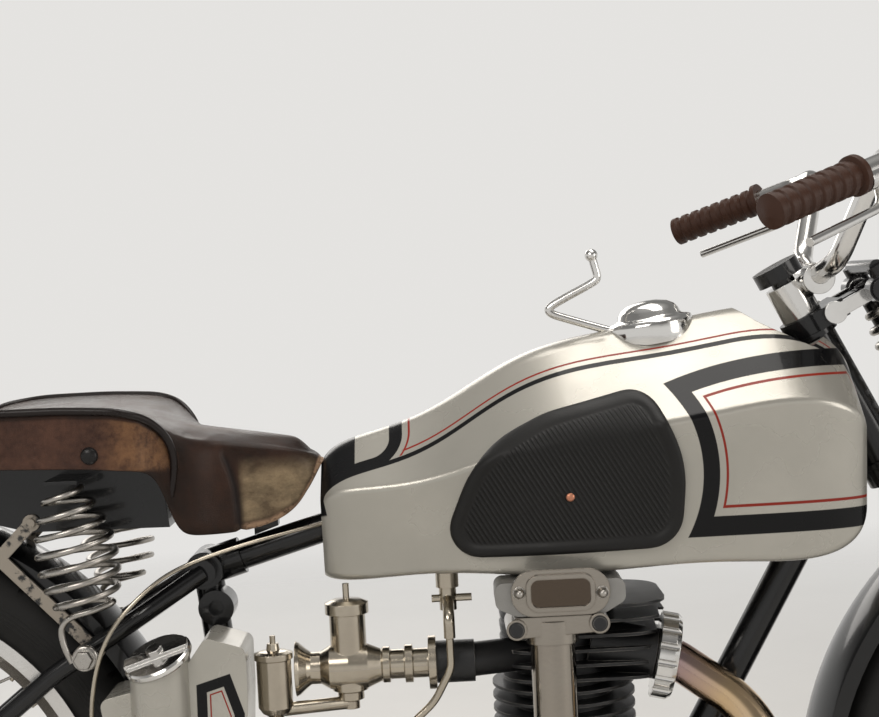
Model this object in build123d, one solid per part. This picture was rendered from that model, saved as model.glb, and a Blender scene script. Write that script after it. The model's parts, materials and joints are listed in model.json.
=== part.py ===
# A sporting single of the 1930s: rigid frame, girder fork, overhead-camshaft engine.
# It stands on its rear stand with the rear wheel just off the ground.
# Millimetres. X points forward, Y to the rider's left, Z up, and the ground is z = 0.
from build123d import *
import math
import os

os.makedirs("parts", exist_ok=True)

# Clearances
SEAT_GAP = 0.3          # between a piece and the seat that carries it
RUNNING_GAP = 6         # between a turning piece and its neighbour

# Wheels
WHEELBASE = 1391
STAND_LIFT = 26         # height of the rear tyre above the ground
FRONT_X = 706           # front axle ahead of the middle of the machine
FRONT_TYRE_R = 346
FRONT_TYRE_W = 79
FRONT_BEAD_R = 266.7    # 21 inch rim
REAR_TYRE_R = 338
REAR_TYRE_W = 84
REAR_BEAD_R = 254       # 20 inch rim
RIM_HALF_WIDTH = 24     # inside the flanges
RIM_WALL = 2.5
RIM_FLANGE_H = 12
RIM_WELL_DEPTH = 15
RIM_WELL_HALF = 12
SPOKES_PER_FLANGE = 20
SPOKE_R = 1.7
SPOKE_SWING = 72        # degrees that a spoke runs round the hub
SPOKE_TIP_GAP = 0.8     # from the axis of a spoke's tip to the rim
AXLE_R = 8

# Handlebar
BAR_R = 11
BAR_END = Vector(268, 302, 984)
GRIP_R = 17
GRIP_L = 112
GRIP_RIBS = 8

# Brakes and sprockets
FRONT_DRUM_R = 89
FRONT_DRUM_OUT = 50     # outer face of the drum, from the middle
REAR_DRUM_R = 90
REAR_DRUM_OUT = 54
DRUM_DEPTH = 28
DRUM_WALL = 6
HUB_R = 24
HUB_FLANGE_R = 58
FLANGE_T = 4

# Chain
CHAIN_Y = 57            # middle of the rear chain and its sprockets
CHAIN_ROLLER_R = 5.1
CHAIN_PLATE_H = 14.5
CHAIN_HALF_WIDTH = 8
SPROCKET_T = 5
REAR_SPROCKET_R = 108
GEARBOX_SPROCKET_R = 48
CHAIN_GUARD_X = (-630, -232)
CHAIN_GUARD_RISE = 17   # above the middle of the chain's top run
CHAIN_GUARD_Y = (49, 66)
CHAIN_GUARD_STAY_X = -549   # where it is held by a seat stay
CHAIN_GUARD_STAY_Y = 69.7
CHAIN_GUARD_TUBE_X = -276   # where it is held by the seat tube

# Steering
HEAD_X = 400            # a point on the steering axis
HEAD_Z = 790
RAKE = 27               # degrees from upright
HEAD_HALF = 80          # half the length of the head tube
HEAD_R = 24
HEAD_BORE_R = 17
HEAD_CUP_R = 28
HEAD_CUP_H = 6
STEM_R = 14
FORK_SPRING_TURNS = 8
FORK_SPRING_RADII = (15, 29, 19)
FORK_SPRING_WIRE_R = 4.5
CROWN_GAP = SEAT_GAP
CROWN_T = 20

# Frame tubes
TOP_TUBE_R = 16
DOWN_TUBE_R = 17.5
CRADLE_R = 12.5
SEAT_TUBE_R = 16
SEAT_STAY_R = 10
CHAIN_STAY_R = 11
SOCKET_WALL = 4
CRADLE_Y = 62
CRADLE_Z = 148
CRADLE_FRONT = (190, 372)
CRADLE_REAR_X = -250
SEAT_LUG = (-302, 640)
SEAT_EYE = (-290, 601)  # boss below the seat lug on the right
AXLE_LUG_Y = 84         # inner face of the rear axle lugs
AXLE_LUG_T = 8

# Engine
CRANK = (62, 272)
CRANKCASE_R = 108
CRANKCASE_HALF = 46
DECK_Z = 384            # top of the crankcase, where the barrel sits
BARREL_X = 78
BARREL_TOP_Z = 508
BARREL_R = 50
BARREL_FIN_R = 77
BARREL_FINS = 8
HEAD_TOP_Z = 596
HEAD_FINS = 6
FIN_T = 3.4
TOWER_Y = -112
TOWER_R = 23
CAM_BOX_Z = 617         # middle of the camshaft cover
COVER_X = 71
COVER_SIZE = (100, 47)
COVER_Y = -143          # outer face
GEARBOX = (-165, 300)
GEARBOX_R = 62

INLET_X = -58           # face of the inlet port
INLET_Y = -60
INLET_Z = 536
INLET_BORE_R = 15.5
MIXING_X = -150         # axis of the carburettor's mixing chamber
MIXING_R = 19
MOUTH_X = -206          # rim of its bell mouth
FLOAT_AT = (-226, -97)
FLOAT_R = 18
FLOAT_TOP_Z = 564
EXHAUST_PORT = Vector(174, -44, 530)
EXHAUST_BEND = Vector(192, -45.3, 526)
EXHAUST_R = 21
CLAMP_R = 46
CLAMP_FLUTES = 16
SILENCER_R = 38

# Tank
TANK_SKIN_TO_PAD = 9    # thickness of a knee pad
PAD_GAP = 0.7           # between the tank's side and the back of a pad
TUNNEL_HALF = 30        # half width of the tunnel over the top tube
TUNNEL_ROOM = 10        # above the top tube
TANK_REST_HALF = 14     # half the length of a rest between top tube and tank
HEAD_ROOM_R = 36        # the tank's notch round the steering head
CROWN_SWING_R = 56      # what the upper crown sweeps as it steers

# Oil tank
OIL_TANK_IN = -62       # inner and outer faces
OIL_TANK_OUT = -138
OIL_NECK_X = -338
OIL_NECK_Y = -130
OIL_NECK_R = 31
OIL_CAP_Z = 566         # middle of the cap's seat
OIL_CAP_LEAN = Vector(-0.29, -0.35, 0.89)

# Saddle and its springs
SADDLE_REAR_X = -552
SADDLE_NOSE_X = -164
SADDLE_HALF = 138
SADDLE_TOP_Z = 826
SPRING_Y = 106
SPRING_TOP = (-430, 742)
SPRING_LOW = (-412, 618)
SPRING_TURNS = 7
SPRING_RADII = (28, 40, 18)     # at the bottom, the middle and the top
SPRING_WIRE_R = 4
SPRING_BOLT = (-418, 568)
STAY_Y = 72.3           # middle of the seat stay beside that bolt
STRUT_IN = 53.7         # the struts lie against the pan's sides here
STRUT_PIN = (-477, 704)
STRUT_ELBOW = (-513, 668)

# Footrests
PEG_R = 13
PEG_COLLAR_R = 19
PEG_COLLAR_L = 9
PEG_ROOT = Vector(-105, 120, 280)
PEG_REACH = Vector(0, 120, 8)   # from a peg's root to its outer end

# Rear stand
STAND_HINGE = (-758, 366)
STAND_LEG_Y = 99
STAND_FOOT_X = -690
STAND_FOOT_Y = 132
STAND_BAR_R = 7

# Mudguards
GUARD_GAP = 25          # from the tread to the inside of a mudguard
GUARD_T = 2.5
GUARD_HALF = 50
GUARD_DEPTH = 26        # how far the guard's sides come down

FRONT_AXLE = Vector(FRONT_X, 0, FRONT_TYRE_R)
REAR_AXLE = Vector(FRONT_X - WHEELBASE, 0, REAR_TYRE_R + STAND_LIFT)
HEAD = Vector(HEAD_X, 0, HEAD_Z)
SIN_RAKE = math.sin(math.radians(RAKE))
COS_RAKE = math.cos(math.radians(RAKE))
STEERING = Plane(origin=HEAD, x_dir=(COS_RAKE, 0, SIN_RAKE), z_dir=(-SIN_RAKE, 0, COS_RAKE))
BOTTOM = (Align.CENTER, Align.CENTER, Align.MIN)
RUNS_PER_TURN = 12      # of a coil spring
ALONG_Y = (0, 1, 0)
parts = {}


# Shapes used all over

def bar(start, end, radius):
    start = Vector(*start)
    run = Vector(*end) - start
    return Plane(origin=start, z_dir=run) * Cylinder(radius, run.length, align=BOTTOM)


def bent(points, bend, radius):
    path = FilletPolyline(*points, radius=bend)
    section = Plane(origin=path @ 0, z_dir=path % 0) * Circle(radius)
    return sweep(section, path=path)


def turned(points, origin, axis):
    """A solid of revolution from (radius, height) points, its axis through origin."""
    outline = Plane.XZ * Polyline(*points, close=True)
    return Plane(origin=origin, z_dir=axis) * revolve(make_face(outline), Axis.Z)


def slab(points, y_from, y_to, rounding=0):
    """An outline in the side view, given as (x, z), made thick from y_from to y_to."""
    outline = make_face(Polyline(*points, close=True))
    if rounding:
        outline = fillet(outline.vertices(), rounding)
    return Plane(origin=(0, y_to, 0), x_dir=(1, 0, 0), z_dir=(0, -1, 0)) * extrude(outline, y_to - y_from)


def disc(centre, radius, y_from, y_to):
    return bar((centre[0], y_from, centre[1]), (centre[0], y_to, centre[1]), radius)


def coil(low, high, turns, radii, wire_r):
    """A wound spring of short straight runs. radii are at its low end, its middle and its high end."""
    low = Vector(*low)
    axis = Vector(*high) - low
    place = Plane(origin=low, z_dir=axis)
    count = turns * RUNS_PER_TURN
    points = []
    for i in range(count + 1):
        t = i / count
        r = radii[0] * (1 - t) * (1 - 2 * t) + 4 * radii[1] * t * (1 - t) + radii[2] * t * (2 * t - 1)
        angle = 2 * math.pi * turns * t
        points.append(place.from_local_coords(Vector(r * math.cos(angle), r * math.sin(angle), axis.length * t)))
    path = Polyline(*points)
    section = Plane(origin=path @ 0, z_dir=path % 0) * RegularPolygon(wire_r, 6)
    return sweep(section, path=path, transition=Transition.RIGHT), points


def mirrored(shape):
    return mirror(shape, about=Plane.XZ)


def pair(shape):
    return [shape, mirrored(shape)]


def steered(x, y, z):
    """A point given in the fork's own frame: ahead of the steering axis, left, up the axis."""
    return STEERING.from_local_coords(Vector(x, y, z))


def save(name, *solids):
    parts[name] = Compound(children=list(solids)) if len(solids) > 1 else solids[0]


# Wheels

def rim_and_tyre(axle, bead_r, tyre_r, tyre_w):
    flange = RIM_HALF_WIDTH + RIM_WALL
    well_r = bead_r - RIM_WELL_DEPTH
    rim_outline = [
        (bead_r + RIM_FLANGE_H, -flange), (bead_r + RIM_FLANGE_H, -RIM_HALF_WIDTH),
        (bead_r, -RIM_HALF_WIDTH), (bead_r, -RIM_WELL_HALF - 4),
        (well_r, -RIM_WELL_HALF), (well_r, RIM_WELL_HALF),
        (bead_r, RIM_WELL_HALF + 4), (bead_r, RIM_HALF_WIDTH),
        (bead_r + RIM_FLANGE_H, RIM_HALF_WIDTH), (bead_r + RIM_FLANGE_H, flange),
        (bead_r - RIM_WALL, flange), (well_r - RIM_WALL, RIM_WELL_HALF + 1),
        (well_r - RIM_WALL, -RIM_WELL_HALF - 1), (bead_r - RIM_WALL, -flange),
    ]
    rim = turned(rim_outline, axle, ALONG_Y)
    inner = bead_r + SEAT_GAP
    foot = RIM_HALF_WIDTH - SEAT_GAP
    edge = bead_r + RIM_FLANGE_H + 1
    waist = (tyre_w / 2, bead_r + 0.54 * (tyre_r - bead_r))
    shoulder = (tyre_w * 0.34, tyre_r - 9)
    tyre_outline = [
        Line((inner, -foot), (inner, foot)),
        Line((inner, foot), (edge, foot)),
        ThreePointArc((edge, foot), (waist[1], waist[0]), (shoulder[1], shoulder[0])),
        ThreePointArc((shoulder[1], shoulder[0]), (tyre_r, 0), (shoulder[1], -shoulder[0])),
        ThreePointArc((shoulder[1], -shoulder[0]), (waist[1], -waist[0]), (edge, -foot)),
        Line((edge, -foot), (inner, -foot)),
    ]
    face = Plane.XZ * make_face(Curve() + tyre_outline)
    tyre = Plane(origin=axle, z_dir=ALONG_Y) * revolve(face, Axis.Z)
    return rim, tyre


def drum(axle, radius, face_y, side):
    """A brake drum open towards its brake plate. side is 1 for left and -1 for right."""
    inner = face_y - DRUM_DEPTH
    web = 5
    outline = [
        (AXLE_R + 1, inner), (radius, inner), (radius, face_y),
        (radius - DRUM_WALL, face_y), (radius - DRUM_WALL, inner + web), (AXLE_R + 1, inner + web),
    ]
    return turned(outline, axle, (0, side, 0))


def hub_body(axle, drum_radius, drum_face, drum_side, plain_y):
    """Hub shell, plain flange and brake drum in one, with all the spokes let into them."""
    drum_y = drum_face - DRUM_DEPTH
    shell = turned(
        [(AXLE_R + 1, -plain_y - 14), (16, -plain_y - 14), (16, -plain_y - FLANGE_T / 2),
         (HUB_FLANGE_R, -plain_y - FLANGE_T / 2), (HUB_FLANGE_R, -plain_y + FLANGE_T / 2),
         (HUB_R, -plain_y + FLANGE_T / 2), (HUB_R, drum_y), (AXLE_R + 1, drum_y)],
        axle, (0, drum_side, 0))
    spoke_ring_y = drum_y + 4
    spoke_ring = turned(
        [(drum_radius - 2, spoke_ring_y - FLANGE_T), (drum_radius + 8, spoke_ring_y - FLANGE_T),
         (drum_radius + 8, spoke_ring_y), (drum_radius - 2, spoke_ring_y)],
        axle, (0, drum_side, 0))
    body = shell + drum(axle, drum_radius, drum_face, drum_side) + spoke_ring
    return body, -drum_side * plain_y, drum_side * (spoke_ring_y - FLANGE_T / 2)


def laced(axle, flange_r, flange_y, bead_r, turn):
    """The spokes of one flange, half leading and half trailing."""
    tip_r = bead_r - RIM_WELL_DEPTH - RIM_WALL - SPOKE_TIP_GAP
    step = 360 / SPOKES_PER_FLANGE
    lean = 1 if flange_y > 0 else -1
    swing_limit = math.degrees(math.acos(flange_r / tip_r)) - 4
    swing_used = min(SPOKE_SWING, swing_limit)
    spokes = []
    for count in range(SPOKES_PER_FLANGE):
        leading = count % 2
        swing = swing_used if leading else -swing_used
        rim_angle = math.radians((count + turn) * step)
        hub_angle = rim_angle - math.radians(swing)
        start_y = flange_y + (2.5 if leading else -2.5)
        start = axle + Vector(flange_r * math.cos(hub_angle), start_y, flange_r * math.sin(hub_angle))
        end = axle + Vector(tip_r * math.cos(rim_angle), lean * 5, tip_r * math.sin(rim_angle))
        run = end - start
        spokes.append(extrude(Plane(origin=start, z_dir=run) * RegularPolygon(SPOKE_R, 6), run.length))
    return spokes


def wheel(name, axle, bead_r, tyre_r, tyre_w, drum_radius, drum_face, drum_side, extra):
    rim, tyre = rim_and_tyre(axle, bead_r, tyre_r, tyre_w)
    save(name + "_rim", rim)
    save(name + "_tyre", tyre)
    body, plain_y, ring_y = hub_body(axle, drum_radius, drum_face, drum_side, 42)
    spokes = laced(axle, HUB_FLANGE_R - 5, plain_y, bead_r, 0)
    spokes += laced(axle, drum_radius + 4, ring_y, bead_r, 0.5)
    save(name + "_hub", body + extra + spokes)


sprocket = turned(
    [(REAR_DRUM_R - DRUM_WALL, CHAIN_Y - SPROCKET_T / 2),
     (REAR_SPROCKET_R - CHAIN_ROLLER_R - 2, CHAIN_Y - SPROCKET_T / 2),
     (REAR_SPROCKET_R - CHAIN_ROLLER_R - 2, CHAIN_Y + SPROCKET_T / 2),
     (REAR_DRUM_R - DRUM_WALL, CHAIN_Y + SPROCKET_T / 2)],
    REAR_AXLE, ALONG_Y)
wheel("front_wheel", FRONT_AXLE, FRONT_BEAD_R, FRONT_TYRE_R, FRONT_TYRE_W,
      FRONT_DRUM_R, FRONT_DRUM_OUT, -1, [])
wheel("rear_wheel", REAR_AXLE, REAR_BEAD_R, REAR_TYRE_R, REAR_TYRE_W,
      REAR_DRUM_R, REAR_DRUM_OUT + 1, 1, [sprocket])


# Frame

TOP_JOINT = HEAD + STEERING.z_dir * 49
LOW_JOINT = HEAD - STEERING.z_dir * 31
TOP_SLOPE = (TOP_JOINT.Z - SEAT_LUG[1]) / (TOP_JOINT.X - SEAT_LUG[0])


def top_tube_z(x):
    """Height of the top tube's axis."""
    return SEAT_LUG[1] + (x - SEAT_LUG[0]) * TOP_SLOPE


def frame_tubes():
    top_joint = TOP_JOINT
    low_joint = LOW_JOINT
    seat_joint = Vector(SEAT_LUG[0], 0, SEAT_LUG[1])
    top_run = (seat_joint - top_joint).normalized()
    cradle_joint = Vector(CRADLE_FRONT[0], 0, CRADLE_FRONT[1])
    down_run = (cradle_joint - low_joint).normalized()
    socket = 64
    lug = bar(steered(0, 0, -HEAD_HALF), steered(0, 0, HEAD_HALF), HEAD_R)
    lug += bar(steered(0, 0, -HEAD_HALF), steered(0, 0, HEAD_CUP_H - HEAD_HALF), HEAD_CUP_R)
    lug += bar(steered(0, 0, HEAD_HALF - HEAD_CUP_H), steered(0, 0, HEAD_HALF), HEAD_CUP_R)
    lug += bar(top_joint, top_joint + top_run * socket, TOP_TUBE_R + SOCKET_WALL)
    lug += bar(low_joint, low_joint + down_run * socket, DOWN_TUBE_R + SOCKET_WALL)
    lug -= bar(steered(0, 0, -HEAD_HALF - 1), steered(0, 0, HEAD_HALF + 1), HEAD_BORE_R)
    save("head_lug", lug)

    seat_socket = 40
    tube = bar(top_joint + top_run * socket, seat_joint - top_run * seat_socket, TOP_TUBE_R)
    for rest_x in (-120, 250):
        low_x = rest_x - TANK_REST_HALF
        high_x = rest_x + TANK_REST_HALF
        roof = TOP_TUBE_R + TUNNEL_ROOM - SEAT_GAP
        tube += slab([(low_x, top_tube_z(low_x)), (high_x, top_tube_z(high_x)), (high_x, top_tube_z(high_x) + roof),
                      (low_x, top_tube_z(low_x) + roof)], -10, 10)
    save("top_tube", tube)

    down = bar(low_joint + down_run * socket, cradle_joint, DOWN_TUBE_R)
    down += bar((CRADLE_FRONT[0], -CRADLE_Y - 15, CRADLE_FRONT[1]),
                (CRADLE_FRONT[0], CRADLE_Y + 15, CRADLE_FRONT[1]), 20)
    save("down_tube", down)

    start_z = CRADLE_FRONT[1] - 20
    cradle = bent(
        [(CRADLE_FRONT[0] - 2, CRADLE_Y, start_z), (CRADLE_FRONT[0] - 14, CRADLE_Y, 262),
         (CRADLE_FRONT[0] - 92, CRADLE_Y, CRADLE_Z), (CRADLE_REAR_X + 20, CRADLE_Y, CRADLE_Z)],
        [80, 100], CRADLE_R)
    save("cradle_tubes", *pair(cradle))

    seat_foot = Vector(CRADLE_REAR_X, 0, CRADLE_Z + 8)
    seat = bar(seat_joint, seat_foot, SEAT_TUBE_R)
    seat += bar((CRADLE_REAR_X, -CRADLE_Y - 15, CRADLE_Z + 2),
                (CRADLE_REAR_X, CRADLE_Y + 15, CRADLE_Z + 2), 20)
    seat += bar((SEAT_LUG[0], -32, SEAT_LUG[1]), (SEAT_LUG[0], 32, SEAT_LUG[1]), 20)
    seat += bar(seat_joint, seat_joint - top_run * seat_socket, TOP_TUBE_R + SOCKET_WALL)
    seat += disc(SEAT_EYE, 19, -40, 0)
    seat -= disc(SEAT_EYE, 8, -41, -26)
    for bracket_z in (440, 530):
        rise = (bracket_z - seat_foot.Z) / (seat_joint.Z - seat_foot.Z)
        bracket_x = seat_foot.X + rise * (seat_joint.X - seat_foot.X)
        seat += bar((bracket_x, 0, bracket_z), (bracket_x, OIL_TANK_IN + SEAT_GAP, bracket_z), 8)
    save("seat_tube", seat)

    stay_run = Vector(-0.795, 0, -0.607)
    stay_end = REAR_AXLE + Vector(34, 84, 30) - stay_run * SEAT_GAP
    stay = bent(
        [(SEAT_LUG[0], 42.5, SEAT_LUG[1]), (SEAT_LUG[0] - 60, 70, SEAT_LUG[1] - 36), (-458, 74, 546), stay_end],
        [60, 200], SEAT_STAY_R)
    stay += bar((SEAT_LUG[0], 32 + SEAT_GAP, SEAT_LUG[1]), (SEAT_LUG[0], 46, SEAT_LUG[1]), 14)
    save("seat_stays", *pair(stay))

    chain_stay = bent(
        [(CRADLE_REAR_X - 20 - SEAT_GAP, CRADLE_Y + 2, CRADLE_Z + 2), (-298, CRADLE_Y + 2, CRADLE_Z + 2),
         (-345, 84, 178), (REAR_AXLE.X + 40, 84, REAR_AXLE.Z - 22)],
        [30, 90], CHAIN_STAY_R)
    lug = slab(
        [(REAR_AXLE.X + 44, REAR_AXLE.Z - 34), (REAR_AXLE.X + 48, REAR_AXLE.Z - 4),
         (REAR_AXLE.X + 42.5, REAR_AXLE.Z + 18.9), (REAR_AXLE.X + 25.5, REAR_AXLE.Z + 41.1),
         (REAR_AXLE.X - 20, REAR_AXLE.Z + 22), (STAND_HINGE[0] - 16, STAND_HINGE[1] + 14),
         (STAND_HINGE[0] - 16, STAND_HINGE[1] - 14), (REAR_AXLE.X - 20, REAR_AXLE.Z - 20)],
        AXLE_LUG_Y - 4, AXLE_LUG_Y + AXLE_LUG_T - 4)
    lug -= disc((REAR_AXLE.X, REAR_AXLE.Z), AXLE_R + SEAT_GAP, 0, 200)
    lug -= disc(STAND_HINGE, 6 + SEAT_GAP, 0, 200)
    save("chain_stays", *pair(chain_stay + lug))


frame_tubes()


# Rear stand

def rear_stand():
    hinge = Vector(STAND_HINGE[0], 0, STAND_HINGE[1])
    foot = Vector(STAND_FOOT_X, 0, STAND_BAR_R)
    run = (foot - hinge).normalized()
    knee = hinge + run * 250
    half = [
        (hinge.X, STAND_LEG_Y, hinge.Z), (knee.X, STAND_LEG_Y, knee.Z),
        (foot.X, STAND_FOOT_Y, foot.Z)]
    leg = bent(half, [60], STAND_BAR_R)
    stand = bar((foot.X, -STAND_FOOT_Y - 14, foot.Z), (foot.X, STAND_FOOT_Y + 14, foot.Z), STAND_BAR_R)
    pivot_in = AXLE_LUG_Y + AXLE_LUG_T - 4 + SEAT_GAP
    for side in (1, -1):
        stand += leg if side == 1 else mirrored(leg)
        stand += bar((hinge.X, side * pivot_in, hinge.Z), (hinge.X, side * (STAND_LEG_Y + 9), hinge.Z), 13)
        stand += bar((hinge.X, side * (pivot_in - 12), hinge.Z), (hinge.X, side * (pivot_in + 4), hinge.Z), 6)
    save("rear_stand", stand)


rear_stand()


# Rear axle, brake plate and chain

def rear_end():
    axle = bar((REAR_AXLE.X, -104, REAR_AXLE.Z), (REAR_AXLE.X, 104, REAR_AXLE.Z), AXLE_R)
    lug_out = AXLE_LUG_Y + AXLE_LUG_T - 4
    for side in (1, -1):
        axle += bar((REAR_AXLE.X, side * lug_out, REAR_AXLE.Z), (REAR_AXLE.X, side * (lug_out + 6), REAR_AXLE.Z), 15)
    plate_y = CHAIN_Y + SPROCKET_T / 2 + RUNNING_GAP
    axle += bar((REAR_AXLE.X, plate_y, REAR_AXLE.Z), (REAR_AXLE.X, plate_y + 4, REAR_AXLE.Z), REAR_DRUM_R - 8)
    axle += bar((REAR_AXLE.X, plate_y, REAR_AXLE.Z), (REAR_AXLE.X, AXLE_LUG_Y - 4, REAR_AXLE.Z), 17)
    axle += bar((REAR_AXLE.X, -62, REAR_AXLE.Z), (REAR_AXLE.X, -AXLE_LUG_Y + 4, REAR_AXLE.Z), 14)
    save("rear_axle", axle)

    front = Vector(GEARBOX[0], 0, GEARBOX[1])
    rear = Vector(REAR_AXLE.X, 0, REAR_AXLE.Z)
    span = (front - rear).length
    tilt = math.atan2(front.Z - rear.Z, front.X - rear.X)
    open_angle = math.acos((REAR_SPROCKET_R - GEARBOX_SPROCKET_R) / span)

    def loop(offset):
        edges = []
        for sign in (1, -1):
            angle = tilt + sign * open_angle
            edges.append((
                (rear.X + (REAR_SPROCKET_R + offset) * math.cos(angle),
                 rear.Z + (REAR_SPROCKET_R + offset) * math.sin(angle)),
                (front.X + (GEARBOX_SPROCKET_R + offset) * math.cos(angle),
                 front.Z + (GEARBOX_SPROCKET_R + offset) * math.sin(angle))))
        back = (rear.X - (REAR_SPROCKET_R + offset) * math.cos(tilt),
                rear.Z - (REAR_SPROCKET_R + offset) * math.sin(tilt))
        nose = (front.X + (GEARBOX_SPROCKET_R + offset) * math.cos(tilt),
                front.Z + (GEARBOX_SPROCKET_R + offset) * math.sin(tilt))
        return make_face(Curve() + [
            Line(edges[0][0], edges[0][1]),
            ThreePointArc(edges[0][1], nose, edges[1][1]),
            Line(edges[1][1], edges[1][0]),
            ThreePointArc(edges[1][0], back, edges[0][0])])

    def band(outer, inner, y_from, y_to):
        ring = loop(outer) - loop(inner)
        return Plane(origin=(0, y_to, 0), x_dir=(1, 0, 0), z_dir=(0, -1, 0)) * extrude(ring, y_to - y_from)

    half_plate = CHAIN_PLATE_H / 2
    chain = band(half_plate, -1, CHAIN_Y - CHAIN_HALF_WIDTH, CHAIN_Y + CHAIN_HALF_WIDTH)
    chain += band(half_plate, -half_plate, CHAIN_Y - CHAIN_HALF_WIDTH, CHAIN_Y - CHAIN_HALF_WIDTH + 1.5)
    chain += band(half_plate, -half_plate, CHAIN_Y + CHAIN_HALF_WIDTH - 1.5, CHAIN_Y + CHAIN_HALF_WIDTH)
    save("rear_chain", chain)

    angle = tilt + open_angle
    slope = -math.cos(angle) / math.sin(angle)

    def guard_z(x):
        lift = REAR_SPROCKET_R + CHAIN_GUARD_RISE
        return rear.Z + lift * math.sin(angle) + (x - rear.X - lift * math.cos(angle)) * slope

    low_y, high_y = CHAIN_GUARD_Y
    strip = [(x, guard_z(x)) for x in CHAIN_GUARD_X]
    guard = slab(strip + [(x, z + 2.5) for x, z in reversed(strip)], low_y, high_y)
    guard += slab([(x, z - 8) for x, z in strip] + [(x, z + 1) for x, z in reversed(strip)], high_y - 2.5, high_y)
    for rest_x, rest_from, rest_to in ((CHAIN_GUARD_STAY_X, high_y - 2, CHAIN_GUARD_STAY_Y),
                                       (CHAIN_GUARD_TUBE_X, SEAT_TUBE_R + SEAT_GAP, low_y + 2)):
        guard += disc((rest_x, guard_z(rest_x) + 1), 6, rest_from, rest_to)
    save("chain_guard", guard)


rear_end()


# Engine and gearbox

def fin_stack(outline, z_from, z_to, count):
    """Cooling fins cut from one outline, evenly spaced between two heights."""
    pitch = (z_to - z_from - FIN_T) / (count - 1)
    return [Pos(0, 0, z_from + pitch * i) * extrude(outline, FIN_T) for i in range(count)]


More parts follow.
